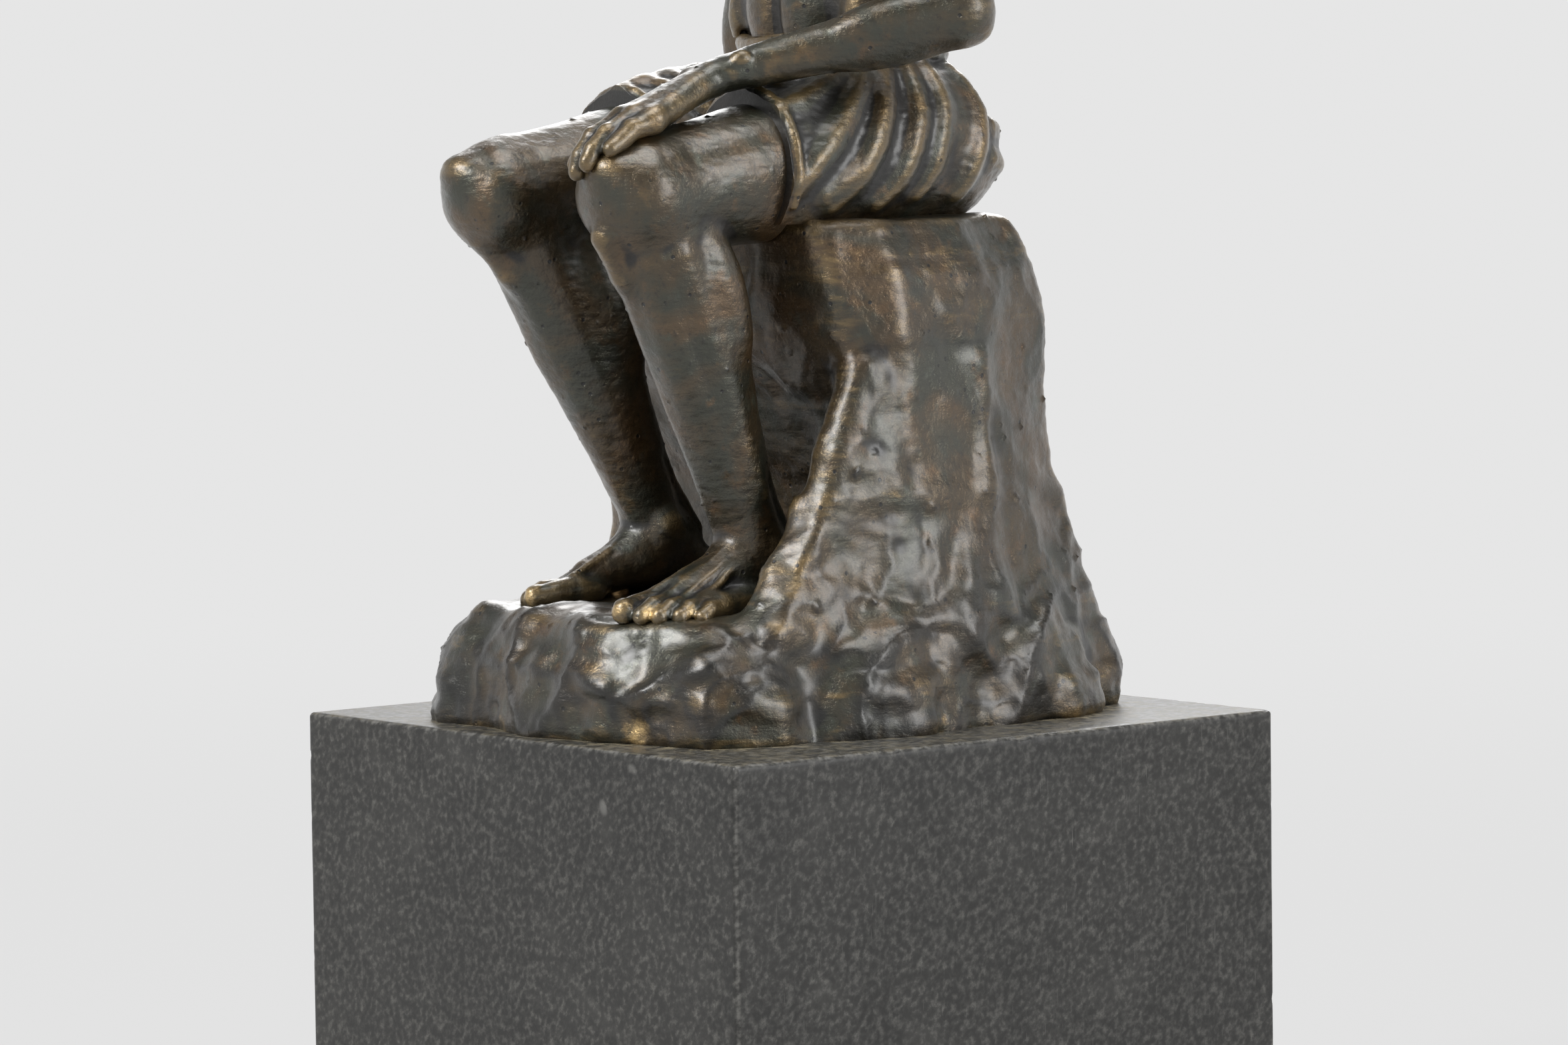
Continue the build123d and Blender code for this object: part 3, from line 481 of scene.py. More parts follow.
class SurfaceTree:
    """Geometry Nodes tree that works a surface along its normals, and keeps a value for the material."""

    NAME = "surface"
    KEEPS = "kept"
    SIZES: tuple[str, ...] = ()

    def __init__(self) -> None:
        """Build the tree: its named inputs, its depth, then realize instances and set the material."""
        self.tree = bpy.data.node_groups.new(self.NAME, "GeometryNodeTree")
        face = self.tree.interface
        face.new_socket("Geometry", in_out="INPUT", socket_type="NodeSocketGeometry")
        for name in (*self.SIZES, "Seed"):
            face.new_socket(name, in_out="INPUT", socket_type="NodeSocketFloat")
        face.new_socket("Material", in_out="INPUT", socket_type="NodeSocketMaterial")
        face.new_socket("Geometry", in_out="OUTPUT", socket_type="NodeSocketGeometry")
        self.nodes = nodes = Nodes(self.tree)
        self.given = given = nodes.put("NodeGroupInput").outputs
        self.place = nodes.put("GeometryNodeInputPosition").outputs[0]
        rise, kept = self.rise()
        normal = nodes.put("GeometryNodeInputNormal").outputs[0]
        offset = nodes.put("ShaderNodeVectorMath", {0: normal, "Scale": rise}, operation="SCALE").outputs[0]
        stored = nodes.put(
            "GeometryNodeStoreNamedAttribute",
            {"Geometry": given["Geometry"], "Name": self.KEEPS, "Value": kept},
            data_type="FLOAT", domain="POINT",
        )
        moved = nodes.put("GeometryNodeSetPosition", {"Geometry": stored.outputs[0], "Offset": offset})
        whole = nodes.put("GeometryNodeRealizeInstances", {"Geometry": moved.outputs[0]})
        painted = nodes.put(
            "GeometryNodeSetMaterial", {"Geometry": whole.outputs[0], "Material": given["Material"]},
        )
        nodes.put("NodeGroupOutput", {"Geometry": painted.outputs[0]})

    def rise(self) -> tuple[Socket, Socket]:
        """How far the surface moves outwards, and the value that is kept."""
        raise NotImplementedError

    def noise(self, name: str, detail: float, stretch: Triple = (1, 1, 1)) -> Socket:
        """Noise of the size that an input names, drawn out where stretch is below one."""
        spread = self.nodes.vector("MULTIPLY", self.place, stretch)
        scale = self.nodes.math("DIVIDE", 1.0, self.given[name])
        inputs = {"Vector": spread, "W": self.given["Seed"], "Scale": scale, "Detail": detail}
        return self.nodes.put("ShaderNodeTexNoise", inputs, noise_dimensions="4D").outputs[0]

    def stored(self, name: str) -> Socket:
        """Value kept for each point under a name."""
        return self.nodes.put("GeometryNodeInputNamedAttribute", {"Name": name}, data_type="FLOAT").outputs[0]

    def apply(self, piece: bpy.types.Object, sizes: object, finish: bpy.types.Material) -> None:
        """Run the tree on a piece and keep the result as its plain mesh.

        Args:
            piece: The piece to work.
            sizes: What holds the tree's sizes in millimetres and its seed, under the inputs' names.
            finish: The piece's material.
        """
        values = {name: getattr(sizes, name.lower().replace(" ", "_")) * MM for name in self.SIZES}
        values |= {"Seed": sizes.seed, "Material": finish}
        modifier = piece.modifiers.new(self.NAME, "NODES")
        modifier.node_group = self.tree
        for item in self.tree.interface.items_tree:
            if item.in_out == "INPUT" and item.name in values:
                modifier[item.identifier] = values[item.name]
        graph = bpy.context.evaluated_depsgraph_get()
        mesh = bpy.data.meshes.new_from_object(
            piece.evaluated_get(graph), preserve_all_data_layers=True, depsgraph=graph,
        )
        piece.modifiers.clear()
        before = piece.data
        piece.data = mesh
        bpy.data.meshes.remove(before)


class RecastTree(SurfaceTree):
    """Modelled, chased and pitted surface of a casting."""

    NAME = "cast_skin"
    KEEPS = "pit"
    SIZES = ("Lump Size", "Lump Height", "Stroke Size", "Stroke Height", "Pit Size", "Pit Depth")
    STROKE_STRETCH = (1.0, 1.0, 2.6)

    def rise(self) -> tuple[Socket, Socket]:
        """Lumps and drawn-out tool strokes, less the pits."""
        nodes, given = self.nodes, self.given
        lump = nodes.times(nodes.minus(self.noise("Lump Size", 3.0), 0.5), given["Lump Height"])
        drawn = nodes.minus(self.noise("Stroke Size", 2.0, self.STROKE_STRETCH), 0.5)
        stroke = nodes.times(drawn, given["Stroke Height"])
        pit = nodes.range(self.noise("Pit Size", 1.0), 0.30, 0.22)
        dent = nodes.times(pit, given["Pit Depth"])
        return nodes.minus(nodes.plus(lump, stroke), dent), pit


class CragTree(SurfaceTree):
    """Broken faces of rock, with rounded lumps and creases where it is left rough."""

    NAME = "rock_faces"
    KEEPS = "crease"
    SIZES = ("Facet Size", "Facet Depth", "Billow Size", "Billow Height", "Clod Size", "Clod Height")
    CELL_SHIFT = (0.31, 0.17, 0.23)
    BILLOW_DETAIL, BILLOW_GAIN, BILLOW_POWER, BILLOW_MEAN = 2.0, 4.0, 0.8, 0.55

    def billow(self, name: str) -> Socket:
        """Rounded lumps of the size that an input names, with creases between them."""
        centred = self.nodes.minus(self.noise(name, self.BILLOW_DETAIL), 0.5)
        wave = self.nodes.times(centred, self.BILLOW_GAIN)
        return self.nodes.math("POWER", self.nodes.math("ABSOLUTE", wave), self.BILLOW_POWER)

    def rise(self) -> tuple[Socket, Socket]:
        """Tilted facets everywhere; billows and clods as far as the stored roughness goes."""
        nodes, given = self.nodes, self.given
        scale = nodes.math("DIVIDE", 1.0, given["Facet Size"])
        aside = nodes.vector("ADD", self.place, self.CELL_SHIFT)
        cells = nodes.put(
            "ShaderNodeTexVoronoi", {"Vector": aside, "Scale": scale, "Smoothness": 0.3}, feature="SMOOTH_F1",
        )
        tilt = nodes.vector("SUBTRACT", cells.outputs["Color"], (0.5, 0.5, 0.5))
        apart = nodes.vector("SUBTRACT", aside, cells.outputs["Position"])
        slope = nodes.put("ShaderNodeVectorMath", {0: tilt, 1: apart}, operation="DOT_PRODUCT")
        facet = nodes.times(nodes.times(slope.outputs["Value"], scale), given["Facet Depth"])
        rough = self.stored("rough")
        swell, clod = self.billow("Billow Size"), self.billow("Clod Size")
        heave = nodes.times(nodes.minus(swell, self.BILLOW_MEAN), given["Billow Height"])
        break_up = nodes.times(nodes.minus(clod, self.BILLOW_MEAN), given["Clod Height"])
        lumps = nodes.times(nodes.plus(heave, break_up), rough)
        crease = nodes.times(nodes.range(nodes.math("MINIMUM", swell, clod), 0.28, 0.05), rough)
        return nodes.plus(facet, lumps), crease


class ArrisTree(SurfaceTree):
    """Chipped and worn edges of a stone block."""

    NAME = "worn_arris"
    KEEPS = "chip"
    SIZES = ("Chip Size", "Chip Depth", "Wear Size", "Wear Depth")

    def rise(self) -> tuple[Socket, Socket]:
        """Chips and wear, only along the stored arris."""
        nodes, given = self.nodes, self.given
        edge = self.stored("arris")
        chip = nodes.times(nodes.range(self.noise("Chip Size", 2.0), 0.60, 0.78), edge)
        wear = nodes.times(nodes.times(self.noise("Wear Size", 1.0), given["Wear Depth"]), edge)
        depth = nodes.plus(nodes.times(chip, given["Chip Depth"]), wear)
        return nodes.times(depth, -1.0), chip


@dataclass(frozen=True)
class Skin:
    """Sizes of a casting's surface, in millimetres."""

    lump_size: float = 7.0
    lump_height: float = 0.5
    stroke_size: float = 2.4
    stroke_height: float = 0.22
    pit_size: float = 1.4
    pit_depth: float = 0.25
    seed: float = 3.0


@dataclass(frozen=True)
class RockFaces:
    """Sizes of the rock's broken faces, in millimetres."""

    facet_size: float = 21.0
    facet_depth: float = 1.7
    billow_size: float = 26.0
    billow_height: float = 3.1
    clod_size: float = 12.0
    clod_height: float = 1.2
    seed: float = 7.0


@dataclass(frozen=True)
class Cut:
    """A joint plane: what lies beyond it, above a height, goes to the next casting."""

    point: Triple
    normal: Triple
    above: float = -1e6

    def apply(self, mesh: bmesh.types.BMesh) -> None:
        """Cut the mesh, close it and keep the rim crisp."""
        faces = [face for face in mesh.faces if face.calc_center_median().z > self.above * MM]
        edges = {edge for face in faces for edge in face.edges}
        verts = {vert for edge in edges for vert in edge.verts}
        bmesh.ops.bisect_plane(
            mesh, geom=[*verts, *edges, *faces], plane_co=Vector(self.point) * MM,
            plane_no=Vector(self.normal), clear_outer=True,
        )
        rim = [edge for edge in mesh.edges if edge.is_boundary]
        filled = bmesh.ops.holes_fill(mesh, edges=rim, sides=0)["faces"]
        for face in filled:
            face.smooth = False
        bmesh.ops.triangulate(mesh, faces=filled)
        for edge in rim:
            edge.smooth = False


def keep_largest(mesh: bmesh.types.BMesh) -> None:
    """Drop all but the largest of a mesh's separate shells."""
    waiting = set(mesh.verts)
    shells = []
    while waiting:
        shell, front = set(), [waiting.pop()]
        while front:
            vert = front.pop()
            shell.add(vert)
            for edge in vert.link_edges:
                other = edge.other_vert(vert)
                if other in waiting:
                    waiting.discard(other)
                    front.append(other)
        shells.append(shell)
    shells.sort(key=len)
    loose = [vert for shell in shells[:-1] for vert in shell]
    if loose:
        bmesh.ops.delete(mesh, geom=loose, context="VERTS")


def blurred(values: np.ndarray, cells: int) -> np.ndarray:
    """Box average of a field over some cells each way."""
    result = values
    for axis in range(3):
        width = 2 * cells + 1
        pad = [(0, 0)] * 3
        pad[axis] = (cells + 1, cells)
        total = np.cumsum(np.pad(result, pad, mode="edge"), axis=axis, dtype=np.float64)
        high = np.take(total, range(width, total.shape[axis]), axis=axis)
        low = np.take(total, range(0, total.shape[axis] - width), axis=axis)
        result = ((high - low) / width).astype(np.float32)
    return result


def sampled(values: np.ndarray, places: np.ndarray) -> np.ndarray:
    """Field values between the samples, at places counted in samples."""
    base = np.clip(np.floor(places).astype(int), 0, np.array(values.shape) - 2)
    share = np.clip(places - base, 0, 1)
    result = np.zeros(len(places))
    for corner in np.ndindex(2, 2, 2):
        weight = np.prod(np.where(corner, share, 1 - share), axis=1)
        result += weight * values[tuple((base + corner).T)]
    return result


@dataclass(frozen=True)
class Rub:
    """A place that hands or a cloth have rubbed bright."""

    place: Triple
    radius: float
    strength: float = 1.0


class Casting:
    """One cast section of the statue: modelled as a sculpt, poured as a mesh, then chased."""

    RELIEF_REACH = 1.3
    RELIEF_SCALE = 0.16
    COARSE = 1.8

    def __init__(
        self, node: str, pitch: float, low: Triple, high: Triple, skin: Skin, cuts: Sequence[Cut] = (),
        rubs: Sequence[Rub] = (),
    ) -> None:
        """Name the CAD node that it shows and the box that it is modelled in."""
        self.node = node
        self.pitch = pitch * 1.0
        self.low, self.high = low, high
        self.skin, self.cuts, self.rubs = skin, cuts, rubs

    def field(self, grid: Grid) -> np.ndarray:
        """Distance field of the section's form."""
        raise NotImplementedError

    def build(self, recast: RecastTree, finish: bpy.types.Material) -> bpy.types.Object:
        """Make the section's mesh.

        Args:
            recast: Tree that gives it its surface.
            finish: Its material.

        Returns:
            The finished piece, riding on the frame in its CAD node's place.
        """
        grid = Grid.around(self.low, self.high, self.pitch)
        values = self.field(grid)
        volume = openvdb.FloatGrid(Sculpt.REACH)
        volume.copyFromArray(values)
        points, quads = volume.convertToQuads(0.0)[:2]
        relief = blurred(values, max(1, round(self.RELIEF_REACH / self.pitch)))
        places = grid.low + points * self.pitch
        mesh = bpy.data.meshes.new(self.node + "_form")
        mesh.from_pydata((places * MM).tolist(), [], quads[:, ::-1].tolist())
        self.store(mesh, "relief", np.clip(sampled(relief, points) / self.RELIEF_SCALE, -1, 1))
        self.store(mesh, "rub", self.rubbed(places))
        piece = bpy.data.objects.new(self.node + "_bronze", mesh)
        bpy.context.scene.collection.objects.link(piece)
        self.roughen(piece, places, finish)
        recast.apply(piece, self.skin, finish)
        self.trim(piece.data)
        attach(piece, BODY)
        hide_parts(self.node)
        log.info("%s: %d faces", piece.name, len(piece.data.polygons))
        return piece

    def roughen(self, piece: bpy.types.Object, places: np.ndarray, finish: bpy.types.Material) -> None:
        """Work the form before its skin; most sections need nothing."""

    def rubbed(self, places: np.ndarray) -> np.ndarray:
        """How far each point is rubbed bright."""
        result = np.zeros(len(places))
        for rub in self.rubs:
            away = np.linalg.norm(places - np.asarray(rub.place, float), axis=1) / rub.radius
            result = np.maximum(result, rub.strength * np.clip(1 - away, 0, 1))
        return result

    @staticmethod
    def store(mesh: bpy.types.Mesh, name: str, values: np.ndarray) -> None:
        """Keep a value for each point under a name that the materials read."""
        layer = mesh.attributes.new(name, "FLOAT", "POINT")
        layer.data.foreach_set("value", values.astype(np.float32))

    def trim(self, mesh: bpy.types.Mesh) -> None:
        """Cut the mesh at its joint planes, facing outwards and smooth."""
        work = bmesh.new()
        work.from_mesh(mesh)
        for face in work.faces:
            face.smooth = True
        for cut in self.cuts:
            cut.apply(work)
        keep_largest(work)
        bmesh.ops.recalc_face_normals(work, faces=work.faces)
        work.to_mesh(mesh)
        work.free()


@dataclass(frozen=True)
class Skeleton:
    """Places of the figure's joints in the frame, in millimetres."""

    plinth_top: float
    ledge: float
    seat: float
    waist: float
    neck: float
    shoulder_plane: float = 19.5
    hem: float = -18.0
    hip: Triple = (12.0, 15.0, 10.5)
    knee_spread: float = 16.0
    knee_rise: float = 4.0
    knee_radius: float = 8.6
    left_knee: float = -38.5
    right_knee: float = -36.0
    ankle_spread: float = 14.5
    ankle_rise: float = 8.5
    left_ankle: float = -17.0
    right_ankle: float = -11.0
    foot_splay: float = 9.0
    waist_setback: float = 12.0
    neck_setback: float = 5.5
    head_setback: float = -1.0
    head_rise: float = 17.5
    head_tilt: float = 16.0
    shoulder: Triple = (22.7, 7.0, -14.0)
    left_elbow: Triple = (33.0, 6.0, 28.5)
    left_wrist: Triple = (14.8, -22.7, 20.5)
    right_elbow: Triple = (-37.0, 28.0, 38.5)
    right_wrist: Triple = (-35.5, 22.0, 8.5)

    @classmethod
    def from_frame(cls) -> "Skeleton":
        """Heights taken from the CAD nodes."""
        return cls(
            plinth_top=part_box("plinth")[1].z / MM,
            ledge=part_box("left_leg_casting")[0].z / MM,
            seat=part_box("wrap_casting")[0].z / MM,
            waist=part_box("torso_casting")[0].z / MM,
            neck=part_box("torso_casting")[1].z / MM,
        )

    def hip_at(self, side: Side) -> np.ndarray:
        """Hip joint."""
        return np.array([side.value * self.hip[0], self.hip[1], self.seat + self.hip[2]])

    def knee_at(self, side: Side) -> np.ndarray:
        """Knee joint."""
        y = self.left_knee if side is Side.LEFT else self.right_knee
        return np.array([side.value * self.knee_spread, y, self.seat + self.knee_rise])

    def ankle_at(self, side: Side) -> np.ndarray:
        """Ankle joint."""
        y = self.left_ankle if side is Side.LEFT else self.right_ankle
        return np.array([side.value * self.ankle_spread, y, self.ledge + self.ankle_rise])

    def shoulder_at(self, side: Side) -> np.ndarray:
        """Shoulder joint."""
        return np.array([side.value * self.shoulder[0], self.shoulder[1], self.neck + self.shoulder[2]])

    def elbow_at(self, side: Side) -> np.ndarray:
        """Elbow joint."""
        return np.add(self.left_elbow if side is Side.LEFT else self.right_elbow, Z_AXIS * self.seat)

    def wrist_at(self, side: Side) -> np.ndarray:
        """Wrist joint."""
        return np.add(self.left_wrist if side is Side.LEFT else self.right_wrist, Z_AXIS * self.seat)

    def foot_frame(self, side: Side) -> Frame:
        """Frame of a foot: outwards, to the toes and up, from the ledge under the ankle."""
        turn = radians(self.foot_splay) * side.value
        ahead = np.array([sin(turn), -cos(turn), 0.0])
        out = np.cross(ahead, Z_AXIS) * -side.value
        origin = self.ankle_at(side) * (1, 1, 0) + Z_AXIS * self.ledge
        return Frame(origin, out * np.sign(out[0] * side.value), ahead, Z_AXIS)

    def trunk_frame(self) -> Frame:
        """Frame of the trunk, from the waist up to the neck."""
        start = (0.0, self.waist_setback, self.waist)
        return Frame.of_bone(start, (0.0, self.neck_setback, self.neck), FORWARD, X_AXIS)

    def head_frame(self) -> Frame:
        """Frame of the head, from its middle."""
        tilt = radians(self.head_tilt)
        crown = np.array([0.0, -sin(tilt), cos(tilt)])
        face = np.array([0.0, -cos(tilt), -sin(tilt)])
        return Frame(np.array([0.0, self.head_setback, self.neck + self.head_rise]), X_AXIS, face, crown)


class LegForm(Sculpt):
    """One leg, from inside the wrap down to the toes."""

    THIGH = (
        Cord("thigh", ((0, 0, 0), (0, 0, 54)), (10.8, 7.9), 1.0),
        Mass("rectus_femoris", (0.3, 3.2, 25), (7.2, 6.4, 22), 3.0),
        Mass("vastus_lateralis", (4.4, 1.0, 30), (5.2, 6.6, 19), 2.5),
        Mass("vastus_medialis", (-4.6, 2.0, 42.5), (4.2, 4.4, 9), 2.0),
        Mass("hamstrings", (0, -4.0, 27), (7.4, 5.8, 22), 2.5),
        Cord("quadriceps_tendon", ((0, 4.8, 42), (0, 5.8, 52)), (2.6, 2.3), 2.0),
        Mass("knee", (0, -0.3, 53.6), (7.7, 7.4, 7.4), 2.5),
        Mass("inner_condyle", (-3.9, 0.0, 56.4), (3.6, 4.8, 4.0), 2.2),
        Mass("outer_condyle", (3.9, 0.0, 56.0), (3.5, 4.6, 3.9), 2.2),
        Mass("kneecap", (0.2, 3.1, 59.0), (4.3, 3.9, 3.0), 2.0, pitch=-42),
    )
    SHANK = (
        Cord("shin", ((0, 0, 3), (0, 0, 55)), (7.0, 4.2), 2.0),
        Cord("ligament", ((0.1, 7.6, 3.2), (-0.2, 6.2, 9)), (2.0, 1.9), 1.6),
        Mass("tuberosity", (-0.3, 5.4, 9.5), (2.4, 2.2, 3.6), 1.6),
        Cord("tibia", ((-0.7, 4.3, 11), (-1.2, 3.4, 30), (-1.0, 2.2, 50)), (2.3, 2.1, 1.9), 1.6),
        Cord("tibialis_anterior", ((2.8, 2.9, 9), (1.9, 3.2, 24), (0.5, 2.6, 42)), (3.1, 3.0, 1.6), 1.4),
        Cord("peroneus", ((4.6, 0.2, 9), (4.2, -0.6, 22), (3.1, -1.2, 46)), (2.7, 2.8, 1.5), 1.4),
        Mass("gastrocnemius_inner", (-2.8, -4.8, 17.5), (5.2, 5.2, 14.0), 1.8),
        Mass("gastrocnemius_outer", (2.8, -4.7, 15.8), (4.9, 4.9, 12.6), 1.7),
        Cord("soleus", ((0, -3.2, 24), (0, -2.8, 42)), (5.9, 3.4), 2.0),
        Cord("achilles", ((0, -4.1, 36), (0, -4.7, 50), (0, -5.2, 58)), (2.2, 1.6, 1.9), 1.4),
        Cord("hamstring_inner", ((-4.6, -3.6, -3), (-4.4, -2.6, 7)), (1.7, 1.9), 1.6),
        Cord("hamstring_outer", ((4.8, -3.4, -3), (4.6, -1.6, 6)), (1.6, 1.8), 1.6),
        Mass("outer_malleolus", (3.9, -0.9, 56.0), (1.8, 2.2, 2.8), 1.0),
        Mass("inner_malleolus", (-3.9, 0.5, 54.2), (1.9, 2.4, 2.8), 1.0),
        Mass("behind_outer_ankle", (4.4, -4.2, 55.0), (1.3, 1.4, 3.4), 1.6, carve=True),
        Mass("behind_inner_ankle", (-4.4, -4.0, 54.0), (1.3, 1.4, 3.4), 1.6, carve=True),
    )
    FOOT = (
        Mass("heel", (0, -4.2, 4.3), (4.2, 4.7, 4.5), 1.8),
        Cord("ankle_block", ((0, -0.6, 8.6), (-0.2, 4.2, 6.8)), (4.6, 4.3), 2.0),
        Mass("ankle_front", (-0.1, 1.9, 10.8), (4.0, 3.4, 4.6), 2.6),
        Cord("instep", ((-0.6, 3.4, 6.9), (-1.3, 13, 4.0)), (4.1, 2.9), 2.0),
        Cord("outer_edge", ((2.3, -2, 2.7), (4.0, 12, 2.1)), (2.8, 2.1), 1.8),
        Mass("ball", (-2.7, 15.3, 2.4), (3.7, 4.0, 2.5), 1.4),
        Mass("outer_ball", (2.2, 13.6, 2.2), (3.4, 3.4, 2.2), 1.4),
        Mass("arch", (-5.0, 5.6, 0.4), (2.4, 6.0, 2.4), 1.6, carve=True),
        Cord("great_tendon", ((-0.4, 4.2, 10.4), (-2.4, 11, 7.3), (-3.8, 17, 4.7)), (0.8, 0.6, 0.55), 0.7),
        Cord("second_tendon", ((0.6, 5.4, 10.2), (-0.4, 11, 7.2), (-1.2, 17, 4.1)), (0.6, 0.5, 0.45), 0.6),
        Cord("third_tendon", ((1.4, 5.8, 9.4), (1.2, 11, 6.4), (1.0, 16.2, 3.9)), (0.6, 0.5, 0.45), 0.6),
        Cord("fourth_tendon", ((2.1, 5.8, 8.4), (2.6, 10.6, 5.4), (2.9, 14.8, 3.6)), (0.6, 0.5, 0.45), 0.6),
        Cord("great_toe", ((-4.0, 16.6, 2.7), (-4.3, 20.4, 2.3), (-4.0, 23.3, 1.9)), (2.2, 1.95, 1.75), 0.7),
        Cord(
            "second_toe", ((-1.15, 16.8, 2.7), (-1.05, 20.4, 2.75), (-1.1, 22.9, 1.4)), (1.6, 1.42, 1.3),
            0.5,
        ),
        Cord("third_toe", ((1.05, 16.0, 2.6), (1.25, 19.4, 2.6), (1.2, 21.7, 1.35)), (1.5, 1.36, 1.25), 0.5),
        Cord("fourth_toe", ((3.0, 14.6, 2.4), (3.35, 17.8, 2.45), (3.4, 19.9, 1.3)), (1.45, 1.3, 1.2), 0.5),
        Cord("small_toe", ((4.7, 13.0, 2.1), (5.2, 15.7, 2.2), (5.4, 17.5, 1.25)), (1.4, 1.28, 1.15), 0.5),
        Mass("great_nail", (-4.05, 23.7, 3.3), (1.15, 1.2, 0.4), 0.2, pitch=24),
        Mass("second_nail", (-1.1, 23.3, 2.35), (0.8, 0.8, 0.35), 0.2, pitch=42),
        Mass("third_nail", (1.2, 22.1, 2.25), (0.75, 0.75, 0.33), 0.2, pitch=42),
        Mass("fourth_nail", (3.4, 20.3, 2.15), (0.7, 0.7, 0.32), 0.2, pitch=42),
        Mass("small_nail", (5.4, 17.9, 2.0), (0.65, 0.65, 0.3), 0.2, pitch=42),
    )

    def __init__(self, bones: Skeleton, side: Side) -> None:
        """Model thigh, shank and foot."""
        super().__init__()
        hip, knee, ankle = bones.hip_at(side), bones.knee_at(side), bones.ankle_at(side)
        out = X_AXIS * side.value
        model(self, Frame.of_bone(hip, knee, Z_AXIS, out), self.THIGH)
        model(self, Frame.of_bone(knee, ankle, FORWARD, out), self.SHANK)
        model(self, bones.foot_frame(side), self.FOOT)


